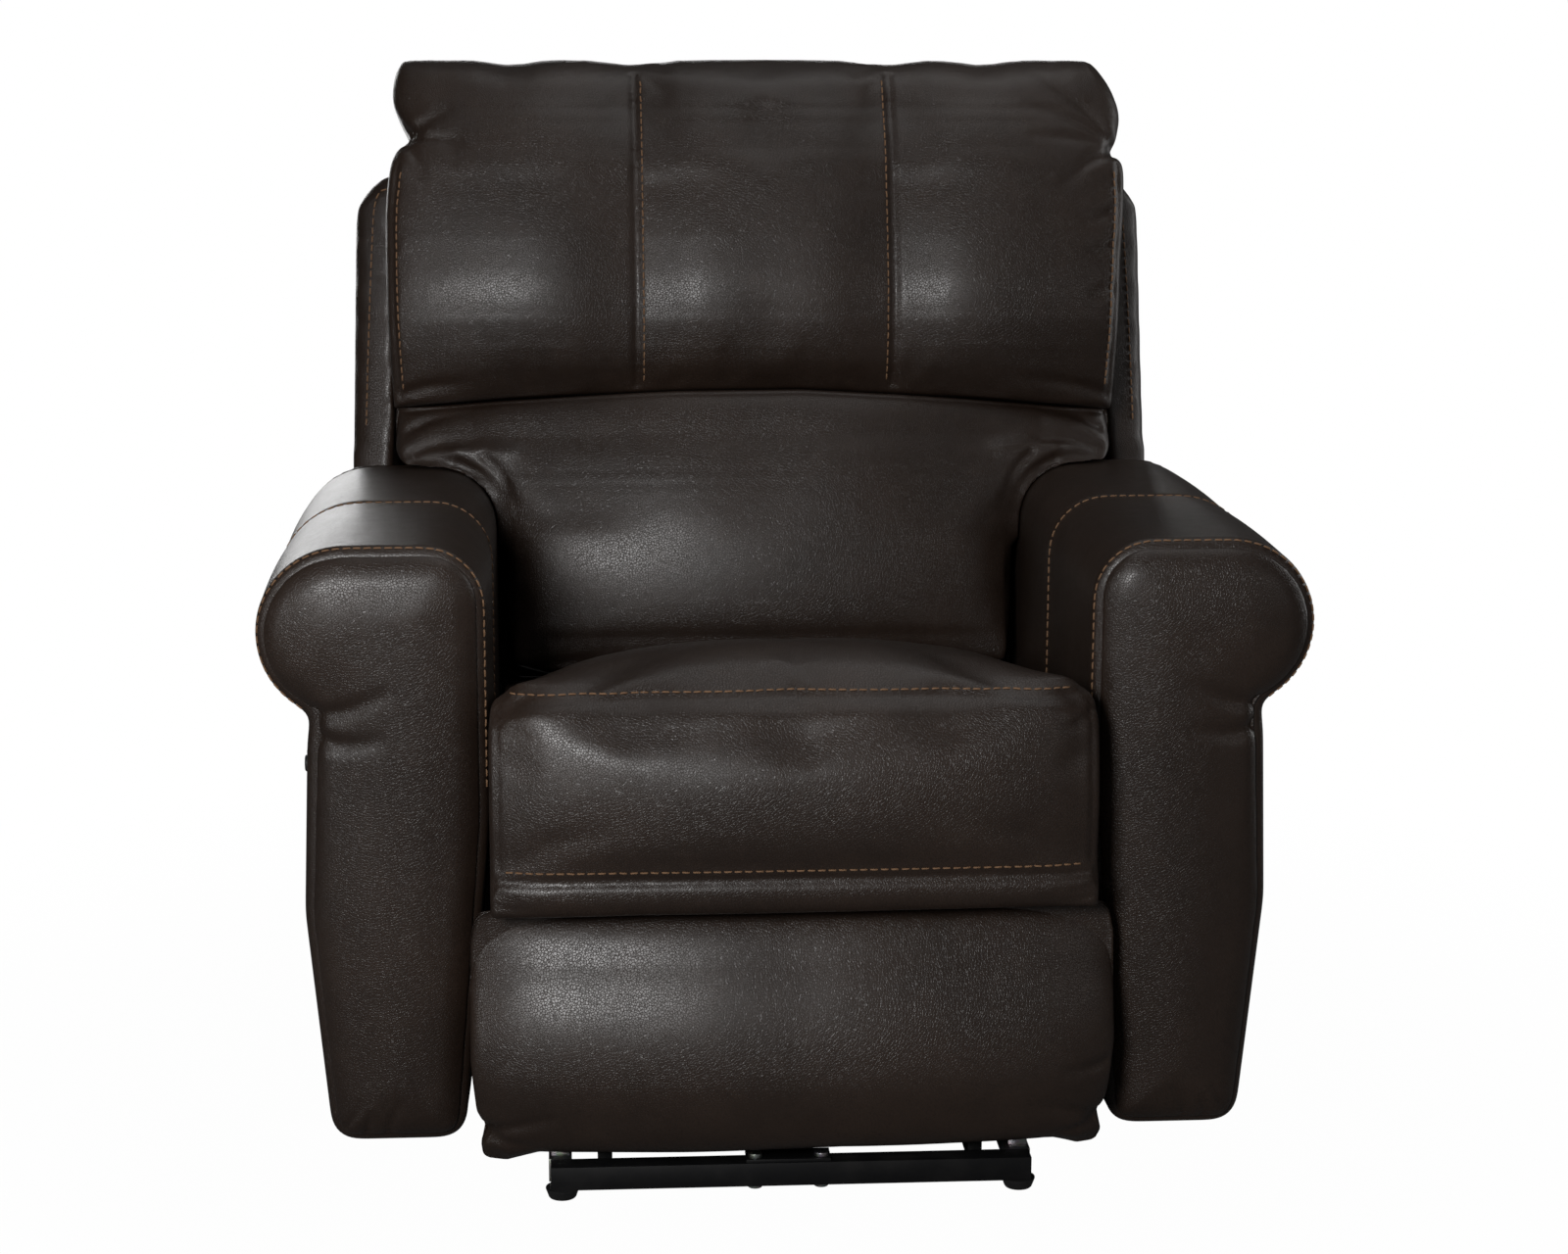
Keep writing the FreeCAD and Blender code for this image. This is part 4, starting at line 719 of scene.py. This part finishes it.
def arm_cover(name, side):
    """The wrapped cover: the section drawn back along the arm, with its end edges rolled in."""
    front, rear = wrap_front, arm_rear
    rolled = wrap_round * (1 - np.cos(np.linspace(0, math.pi / 2, 8)))
    straight = np.linspace(front + wrap_round, rear - wrap_round, int((rear - front) / arm_row))
    rows = np.concatenate([front + rolled, straight[1:-1], rear - rolled[::-1]])
    deselect()
    bpy.ops.mesh.primitive_circle_add(vertices=arm_ring, radius=0.1, fill_type="NGON")
    piece = bpy.context.object
    piece.name = name
    piece.data.name = name
    points = points_of(piece)
    put_points(piece, np.stack([points[:, 0], np.full(len(points), front), points[:, 1]], axis=1))
    bpy.ops.object.mode_set(mode="EDIT")
    bpy.ops.mesh.select_all(action="SELECT")
    for step in np.diff(rows):
        bpy.ops.mesh.extrude_region_move(TRANSFORM_OT_translate={"value": (0, step, 0)})
    bpy.ops.object.mode_set(mode="OBJECT")
    points = points_of(piece)
    turn = np.arctan2(points[:, 2], points[:, 0])
    column = np.round((turn % (2 * math.pi)) / (2 * math.pi) * arm_ring).astype(int) % arm_ring
    level = np.abs(points[:, 1][:, None] - rows).argmin(axis=1)
    for number, y in enumerate(rows):
        ring = arm_outline(y, arm_ring)
        edge = min(y - front, rear - y, wrap_round)
        inset = wrap_round - math.sqrt(wrap_round**2 - (wrap_round - edge) ** 2)
        hump = 0.0022 * math.sin(math.pi * min(1.0, abs(y - arm_seam) / 0.28))
        ring = ring + outward_of(ring) * (hump - inset)
        chosen = level == number
        points[chosen, 0] = ring[column[chosen], 0] * side
        points[chosen, 1] = y
        points[chosen, 2] = ring[column[chosen], 1]
    put_points(piece, points)
    make_active(piece)
    bpy.ops.object.mode_set(mode="EDIT")
    bpy.ops.mesh.select_all(action="SELECT")
    bpy.ops.mesh.normals_make_consistent(inside=False)
    bpy.ops.object.mode_set(mode="OBJECT")
    return piece


def round_the_arm(piece, y, side, start=0.02, end=0.41):
    """A line round the arm at one depth, from low on the inner face over the top to the waist."""
    ring = arm_outline(y, arm_ring)
    chosen = ring[int(start * arm_ring) : int(end * arm_ring)]
    skin = skin_of(piece)
    line = []
    for x, z in chosen:
        hit = skin.find_nearest(Vector((x * side, y, z)))
        line.append((hit[0], hit[1]))
    return line


face_back = wrap_front - 0.0006
face_inset = 0.0085
face_edge = 0.003
face_round = 0.020
face_depth = 0.0095
face_crown = 0.012


def arm_face(name, label, side):
    """The front panel: a shallow pillow inside the wrap's rolled edge."""
    piece = copy_of(name, label + "_arm_front_panel")
    remesh(piece, 0.0042)
    points = points_of(piece)
    ring = arm_outline(arm_front, arm_ring)
    inward = -outward_of(ring)
    flat = points[:, [0, 2]] * (side, 1)
    gap, nearest = inside_of(ring, flat)
    flat = np.where((gap < 0)[:, None], ring[nearest], flat)
    gap = np.maximum(gap, 0)
    flat = flat + inward[nearest] * (face_inset * np.clip(1 - gap / 0.07, 0, 1))[:, None]
    forward = (points[:, 1].max() - points[:, 1]) / np.ptp(points[:, 1])
    swell = np.sqrt(1 - (1 - np.clip(gap / face_round, 0, 1)) ** 2)
    height = face_edge + face_depth * swell + face_crown * fade(gap, -0.02, 0.085)
    points[:, 0] = flat[:, 0] * side
    points[:, 2] = flat[:, 1]
    points[:, 1] = face_back - forward * height
    put_points(piece, points)
    relax(piece, 14)
    points = points_of(piece)
    points[:, 1] = np.minimum(points[:, 1], face_back)
    put_points(piece, points)
    return piece


for label, side in (("left", -1), ("right", 1)):
    cover = arm_cover(label + "_arm_wrap", side)
    press(cover, [p for p, n in round_the_arm(cover, arm_seam, side, 0.0, 0.99)], 0.0026, 0.0045)
    front_line = round_the_arm(cover, wrap_front + 0.0035, side)
    sew(label + "_arm_front_stitches", front_line, "seat_body")
    seam_line = round_the_arm(cover, arm_seam - 0.008, side)
    sew(label + "_arm_seam_stitches", seam_line, "seat_body")
    upholster(cover, "seat_body", 0.9, label + "_arm_cover")

    panel = arm_face(label + "_arm_face", label, side)
    refine(panel)
    creases(
        panel, from_front, 0.0050, 0.0095,
        [(side * 0.478, 0, 0.512), (side * 0.448, 0, 0.518), (side * 0.400, 0, 0.540)],
        [(side * 0.480, 0, 0.488), (side * 0.452, 0, 0.482), (side * 0.405, 0, 0.488)],
    )
    creases(
        panel, from_front, 0.0025, 0.0050,
        [(side * 0.418, 0, 0.060), (side * 0.412, 0, 0.082), (side * 0.402, 0, 0.104)],
        [(side * 0.440, 0, 0.060), (side * 0.437, 0, 0.078), (side * 0.436, 0, 0.094)],
        [(side * 0.462, 0, 0.070), (side * 0.450, 0, 0.088), (side * 0.444, 0, 0.106)],
    )
    upholster(panel, "seat_body", 0.9, label + "_arm_front_panel")

    rear = copy_of(label + "_arm_back", label + "_arm_rear_panel")
    remesh(rear, 0.0060)
    relax(rear, 4)
    upholster(rear, "seat_body", 0.9, label + "_arm_rear_panel")


# Switch: a moulded plate let into the outer face of the left arm, with two dished push buttons
# in it for raising and lowering.
switch_plastic = moulded("switch_plastic", 0.014, 900.0, 0.00012, 0.35)
soften("switch_plate", 0.0025, switch_plastic, "seat_body")
for node in ("open_button", "close_button"):
    soften(node, 0.0018, switch_plastic, body_of[node])


# Rear lower panel: a leather-covered board across the foot of the chair behind the mechanism,
# screwed to the base of the seat frame.
lower_panel = copy_of("rear_valance", "rear_lower_panel")
remesh(lower_panel, 0.0060)
relax(lower_panel, 5)
upholster(lower_panel, "seat_body", 0.9, "rear_lower_panel")


# Back: a padded shell over the timber frame whose sides stand forward as narrow wings, a lumbar
# cushion across the middle, and a head cushion of three sewn panels that rolls over the top.
recline = next(joint for joint in frame["joints"] if joint["name"] == "back_recline")
back_hinge = recline["pos_m"]
back_tilt = math.radians(11.6)


def on_back(x, depth, height):
    """A place given in the back's own upright frame: across, behind the hinge and above it."""
    y = back_hinge[1] + depth * math.cos(back_tilt) + height * math.sin(back_tilt)
    z = back_hinge[2] + height * math.cos(back_tilt) - depth * math.sin(back_tilt)
    return (x, y, z)


def in_back(points):
    """Points in the back's own upright frame."""
    y, z = points[:, 1] - back_hinge[1], points[:, 2] - back_hinge[2]
    depth = y * math.cos(back_tilt) - z * math.sin(back_tilt)
    height = y * math.sin(back_tilt) + z * math.cos(back_tilt)
    return np.stack([points[:, 0], depth, height], axis=1)


def put_on_back(piece, local):
    """Gives a piece the points that are drawn in the back's frame."""
    put_points(piece, np.stack(on_back(*local.T), axis=1))


into_back = tuple(np.array(on_back(0, 1, 0)) - np.array(on_back(0, 0, 0)))

from_rear = (0.0, -1.0, 0.0)
rear_seam = 0.225
rear_heights = (0.44, 0.60, 0.80, 0.99)
wing_inside = 0.420
wing_turn = 0.40
wing_edge = [
    (0.463, 0.700), (0.459, 0.800), (0.454, 0.900), (0.450, 0.955), (0.443, 0.974), (0.432, 0.979),
]
shell = copy_of("back_shell_cover", "back_shell")
remesh(shell, 0.0100)
relax(shell, 5)
refine(shell)
local = in_back(points_of(shell))
front = local[:, 1].min()
facing = 1 - fade(local[:, 1], front + 0.02, front + 0.08)
local[:, 1] += wing_turn * np.maximum(np.abs(local[:, 0]) - wing_inside, 0) * facing
put_on_back(shell, local)
for label, side in (("left", -1), ("right", 1)):
    path = eased([(side * x, 0, z) for x, z in wing_edge])
    sew(label + "_wing_stitches", laid_on(skin_of(shell), path, from_front), "backrest")
    path = [(side * rear_seam, 0, z) for z in rear_heights]
    groove(shell, path, from_rear, depth=0.0035, width=0.0070)
    path = eased([(side * (rear_seam - 0.009), 0, z) for z in rear_heights])
    sew(label + "_rear_stitches", laid_on(skin_of(shell), path, from_rear), "backrest")
upholster(shell, "backrest", 0.7, "back_shell")

arm_clearance = 0.0035
lumbar_crown = 0.034
lumbar_front = [
    (0.02, -0.146), (0.07, -0.164), (0.11, -0.172), (0.15, -0.175), (0.19, -0.174), (0.23, -0.170),
    (0.27, -0.163), (0.30, -0.154), (0.33, -0.141), (0.37, -0.116),
]
lumbar_tongue = 0.026
lumbar_left, lumbar_right = -0.425, 0.423
# the crease between the two cushions, in the back's frame: across and height
cushion_crease = [
    (-0.44, 0.345), (-0.30, 0.354), (-0.10, 0.362), (0.05, 0.363), (0.25, 0.352), (0.44, 0.338),
]


def back_block(across, depth, height):
    """A block of filling, by its ranges in the back's frame."""
    deselect()
    bpy.ops.mesh.primitive_cube_add(size=1)
    block = bpy.context.object
    share = points_of(block) + 0.5
    ranges = np.array([across, depth, height])
    local = ranges[:, 0] + share * (ranges[:, 1] - ranges[:, 0])
    put_on_back(block, local)
    return block


lumbar = copy_of("lumbar_cover", "lumbar_cushion")
filling_rear = -0.03
filling_half = 0.293
ear_middle = 0.32
ear_half = 0.04
fillings = [back_block((-filling_half, filling_half), (-0.172, filling_rear), (0.056, 0.20))]
for middle in (-ear_middle, ear_middle):
    span = (middle - ear_half, middle + ear_half)
    fillings.append(back_block(span, (-0.158, filling_rear), (0.18, 0.30)))
make_active(lumbar)
for block in fillings:
    block.select_set(True)
bpy.ops.object.join()
remesh(lumbar, 0.0065)
shrink(lumbar, 0.003)
relax(lumbar, 12)
local = in_back(points_of(lumbar))
held = (local[:, 1] > -0.045) | (local[:, 2] > 0.335) | (local[:, 2] < 0.05)
held |= np.abs(local[:, 0]) > 0.405
fill_out(lumbar, held, pressure=3.0, cap=0.012, slack=0.0)
relax(lumbar, 6)
refine(lumbar)
local = in_back(points_of(lumbar))
fit_edge(local, 2, 1, eased(lumbar_front), -0.06)
across = np.minimum(np.abs(local[:, 0]) / 0.30, 1.12)
local[:, 1] += lumbar_crown * across**2 * fade(-local[:, 1], 0.05, 0.10)
fit_edge(local, 0, 2, [(x, h - 0.0012) for x, h in cushion_crease], 0.05)
between_arms = 1 - fade(np.abs(local[:, 0]), 0.285, 0.295)
fit_edge(local, 0, 2, [(-0.3, lumbar_tongue), (0.3, lumbar_tongue)], -0.03, between_arms)
ears = fade(local[:, 2], 0.26, 0.30)
fit_edge(local, 2, 0, [(0, lumbar_left), (1, lumbar_left)], -0.04, ears)
fit_edge(local, 2, 0, [(0, lumbar_right), (1, lumbar_right)], 0.04, ears)
put_on_back(lumbar, local)
for turn in range(2):
    relax(lumbar, 3)
    points = points_of(lumbar)
    ring = arm_outline(points[:, 1].mean(), arm_ring)
    for side in (-1, 1):
        flat = points[:, [0, 2]] * (side, 1)
        deep, nearest = inside_of(ring, flat)
        clear = ring[nearest] + outward_of(ring)[nearest] * arm_clearance
        flat = np.where((deep > -arm_clearance)[:, None], clear, flat)
        points[:, [0, 2]] = flat * (side, 1)
    put_points(lumbar, points)
lumbar_folds = (
    [(0.408, 0.292), (0.372, 0.301), (0.322, 0.302)],
    [(0.402, 0.283), (0.362, 0.280), (0.312, 0.258)],
    [(0.350, 0.276), (0.322, 0.262), (0.292, 0.228)],
    [(0.322, 0.286), (0.300, 0.262), (0.280, 0.214)],
    [(0.410, 0.318), (0.380, 0.331), (0.330, 0.339)],
)
for side in (-1, 1):
    folds = [[on_back(side * x, 0, h) for x, h in fold] for fold in lumbar_folds]
    creases(lumbar, into_back, 0.0040, 0.0075, *folds)
upholster(lumbar, "backrest", 0.7, "lumbar_cushion")

head_seams = (-0.141, 0.160)
head_dips = head_seams + (-0.285, 0.275)
head_belly = 0.012
head_front = [
    (0.34, -0.084), (0.36, -0.101), (0.40, -0.129), (0.44, -0.143), (0.48, -0.148), (0.52, -0.147),
    (0.56, -0.143), (0.60, -0.137), (0.64, -0.128), (0.68, -0.116), (0.71, -0.103), (0.74, -0.080),
]
head_left = [
    (0.34, -0.426), (0.45, -0.431), (0.56, -0.432), (0.62, -0.427), (0.645, -0.418), (0.660, -0.404),
    (0.678, -0.413), (0.705, -0.424), (0.740, -0.422), (0.770, -0.410),
]
head_right = [
    (0.34, 0.424), (0.40, 0.427), (0.50, 0.431), (0.58, 0.437), (0.625, 0.436), (0.640, 0.424),
    (0.655, 0.431), (0.685, 0.438), (0.715, 0.431), (0.745, 0.417), (0.770, 0.405),
]
head = copy_of("head_cushion_cover", "head_cushion")
remesh(head, 0.0074)
shrink(head, 0.004)
relax(head, 6)
local = in_back(points_of(head))
held = (local[:, 1] > -0.035) & (local[:, 2] < 0.62)
held |= np.abs(local[:, 0]) > 0.430
held |= local[:, 2] < 0.352
for place in head_seams:
    held |= np.abs(local[:, 0] - place) < 0.005
fill_out(head, held, pressure=3.0, cap=0.018, slack=0.002)
refine(head)
local = in_back(points_of(head))
crest = local[:, 2].max()
forward = fade(-local[:, 1], 0.04, 0.10)
local[:, 1] -= head_belly * forward * np.exp(-(((local[:, 2] - 0.43) / 0.075) ** 2))
upright = fade(local[:, 2], 0.37, 0.42) * (1 - fade(local[:, 2], 0.69, 0.73))
fit_edge(local, 2, 1, eased(head_front), -0.06, upright)
spots = np.linspace(-0.45, 0.45, 46)
dips = sum(0.006 * np.exp(-(((spots - place) / 0.03) ** 2)) for place in head_dips)
fit_edge(local, 0, 2, list(zip(spots, crest - 0.003 - dips)), 0.09)
fit_edge(local, 0, 2, cushion_crease, -0.05)
fit_edge(local, 2, 0, eased(head_left), -0.06)
fit_edge(local, 2, 0, eased(head_right), 0.06)
put_on_back(head, local)
relax(head, 4)
left_folds = (
    [(-0.408, 0.664), (-0.388, 0.674), (-0.350, 0.694)],
    [(-0.408, 0.659), (-0.380, 0.656), (-0.335, 0.652)],
    [(-0.410, 0.652), (-0.396, 0.636), (-0.384, 0.606)],
    [(-0.418, 0.358), (-0.380, 0.368), (-0.330, 0.372)],
)
right_folds = (
    [(0.425, 0.646), (0.385, 0.655), (0.318, 0.658)],
    [(0.425, 0.652), (0.380, 0.677), (0.312, 0.698)],
    [(0.420, 0.660), (0.385, 0.698), (0.335, 0.738)],
    [(0.424, 0.640), (0.392, 0.626), (0.352, 0.592)],
    [(0.418, 0.354), (0.370, 0.366), (0.300, 0.374)],
    [(0.416, 0.566), (0.400, 0.560), (0.378, 0.556)],
    [(0.416, 0.526), (0.402, 0.521), (0.384, 0.518)],
    [(0.416, 0.477), (0.404, 0.473), (0.386, 0.470)],
)
for folds in (left_folds, right_folds):
    folds = [[on_back(x, 0, h) for x, h in fold] for fold in folds]
    creases(head, into_back, 0.0042, 0.0075, *folds)
for number, place in enumerate(head_seams):
    path = [on_back(place, 0, h) for h in (0.368, 0.45, 0.55, 0.65, 0.735)]
    groove(head, path, into_back, depth=0.0035, width=0.0045)
    inward = math.copysign(0.008, -place)
    path = eased([on_back(place + inward, 0, h) for h in (0.372, 0.45, 0.55, 0.65, 0.735)])
    name = "head_seam_stitches_%d" % (number + 1)
    sew(name, laid_on(skin_of(head), path, into_back), "backrest")
for label, line in (("left", head_left), ("right", head_right)):
    heights, halves = np.array(line).T
    rows = [(h, np.interp(h, heights, halves)) for h in np.linspace(0.365, 0.625, 6)]
    inward = math.copysign(0.010, -rows[0][1])
    path = [on_back(x + inward * 0.8, 0, h) for h, x in rows]
    groove(head, path, into_back, depth=0.0025, width=0.0040)
    path = eased([on_back(x + inward * 1.35, 0, h) for h, x in rows])
    sew(label + "_head_edge_stitches", laid_on(skin_of(head), path, into_back), "backrest")
upholster(head, "backrest", 0.7, "head_cushion")


# Footrest: one plain leather panel over a foam pad on a plywood board, sewn tight at its lower
# corners, carried on brackets at the ends of the lift links.
rest_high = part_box("footrest_pad")[1]
rest_middle = 0.140
rest_crown = 0.048
rest_round = 0.028
rest_top = [(-0.34, 0.312), (-0.30, 0.316), (0.30, 0.316), (0.34, 0.312)]
rest_foot = [
    (-0.34, 0.056), (-0.318, 0.047), (-0.295, 0.046), (-0.262, 0.055), (-0.10, 0.057), (0.05, 0.060),
    (0.20, 0.058), (0.272, 0.058), (0.298, 0.051), (0.318, 0.052), (0.34, 0.062),
]
rest_left = [
    (0.04, -0.318), (0.066, -0.321), (0.084, -0.315), (0.105, -0.325), (0.16, -0.330), (0.28, -0.329),
    (0.305, -0.324), (0.32, -0.314),
]
rest_right = [
    (0.04, 0.312), (0.066, 0.322), (0.088, 0.317), (0.110, 0.325), (0.17, 0.331), (0.28, 0.330),
    (0.305, 0.325), (0.32, 0.315),
]
footrest = copy_of("footrest_cover", "footrest_pad")
remesh(footrest, 0.0060)
shrink(footrest, 0.003)
relax(footrest, 6)
relax(footrest, 10)
refine(footrest)
points = points_of(footrest)
aside = np.abs(points[:, 0] / rest_high.x)
points[:, 1] += rest_round * aside**2.5 * fade(rest_high.y - points[:, 1], 0.005, 0.03)
above = np.abs(points[:, 2] - rest_middle) / (rest_high.z - rest_middle)
points[:, 1] += rest_crown * above**1.7 * fade(rest_high.y - points[:, 1], 0.005, 0.03)
fit_edge(points, 0, 2, rest_top, 0.04)
fit_edge(points, 0, 2, rest_foot, -0.05)
fit_edge(points, 2, 0, rest_left, -0.04)
fit_edge(points, 2, 0, rest_right, 0.04)
put_points(footrest, points)
relax(footrest, 2)
creases(
    footrest, from_front, 0.0040, 0.0070,
    [(-0.318, 0, 0.084), (-0.290, 0, 0.092), (-0.240, 0, 0.108)],
    [(-0.316, 0, 0.080), (-0.294, 0, 0.074), (-0.262, 0, 0.070)],
    [(0.320, 0, 0.088), (0.290, 0, 0.097), (0.245, 0, 0.112)],
    [(0.318, 0, 0.084), (0.296, 0, 0.076), (0.268, 0, 0.072)],
    [(0.322, 0, 0.150), (0.300, 0, 0.146), (0.270, 0, 0.146)],
)
upholster(footrest, "footrest", 0.8, "footrest_pad")


# Studio: a white floor in white air, a soft key light from the upper left, a weak fill from the
# right, strip lights that edge the sides, and wide boxes above and behind for the arm tops.
def studio_white(name, seen, mirrored):
    """White paper that keeps the chair's shadow; seen and mirrored are its glow to each kind of ray."""
    finish = Finish(name, Base_Color=(0.18, 0.18, 0.18, 1), Roughness=0.9, Specular_IOR_Level=0.0)
    glow = finish.add("ShaderNodeEmission", {}, {"Color": (1, 1, 1, 1), "Strength": 1.0})
    direct = finish.add("ShaderNodeLightPath", {}, {}, "Is Camera Ray")
    glossy = finish.add("ShaderNodeLightPath", {}, {}, "Is Glossy Ray")
    through = finish.add("ShaderNodeLightPath", {}, {}, "Is Transmission Ray")
    middle = finish.add("ShaderNodeVectorMath", {"operation": "LENGTH"}, {0: finish.place}, "Value")
    clear = finish.ramp(middle, 0.5, 1.5)
    share = direct * (seen + (1 - seen) * clear) + (glossy + through) * mirrored
    paper = Value(finish, finish.shader.outputs[0])
    mixed = finish.add("ShaderNodeMixShader", {}, {0: share, 1: paper, 2: glow})
    out = finish.tree.nodes["Material Output"]
    finish.set(out, {"Surface": mixed})
    return finish.material


floor_size = 14.0
deselect()
bpy.ops.mesh.primitive_plane_add(size=floor_size, location=(0, 0, -0.0005))
floor = bpy.context.object
floor.name = "studio_floor"
floor.data.materials.append(studio_white("studio_paper", 0.985, 0.0))
world = bpy.data.worlds.new("studio_air")
bpy.context.scene.world = world
world.use_nodes = True
air = world.node_tree
rays = air.nodes.new("ShaderNodeLightPath")
strength = air.nodes.new("ShaderNodeMapRange")
strength.inputs["To Min"].default_value = 0.045
strength.inputs["To Max"].default_value = 1.0
air.links.new(rays.outputs["Is Camera Ray"], strength.inputs["Value"])
air.nodes["Background"].inputs["Color"].default_value = (1, 1, 1, 1)
air.links.new(strength.outputs["Result"], air.nodes["Background"].inputs["Strength"])


def softbox(name, place, aim, width, height, watts):
    """A rectangular lamp that lights the chair but is not seen itself."""
    light = bpy.data.lights.new(name, "AREA")
    light.shape = "RECTANGLE"
    light.size = width
    light.size_y = height
    light.energy = watts
    lamp = bpy.data.objects.new(name, light)
    bpy.context.scene.collection.objects.link(lamp)
    lamp.location = place
    lamp.visible_camera = False
    lamp.rotation_euler = (Vector(aim) - Vector(place)).to_track_quat("-Z", "Y").to_euler()


softbox("key_box", (-0.95, -3.05, 1.50), (-0.1, 0, 0.6), 0.6, 0.6, 56)
softbox("fill_box", (2.3, -2.6, 1.4), (0, 0, 0.5), 1.2, 1.2, 4)
softbox("left_strip", (-2.6, -2.0, 0.9), (0, 0, 0.7), 0.30, 1.5, 8)
softbox("right_strip", (2.1, 0.7, 1.1), (0, 0, 0.7), 0.5, 1.6, 8)
softbox("back_box", (-0.5, 3.0, 1.15), (0, 0, 0.8), 2.8, 1.1, 36)
softbox("top_box", (0.3, 0.1, 3.0), (0, 0.1, 0.5), 2.4, 1.6, 14)

bpy.context.scene.view_settings.view_transform = "Standard"
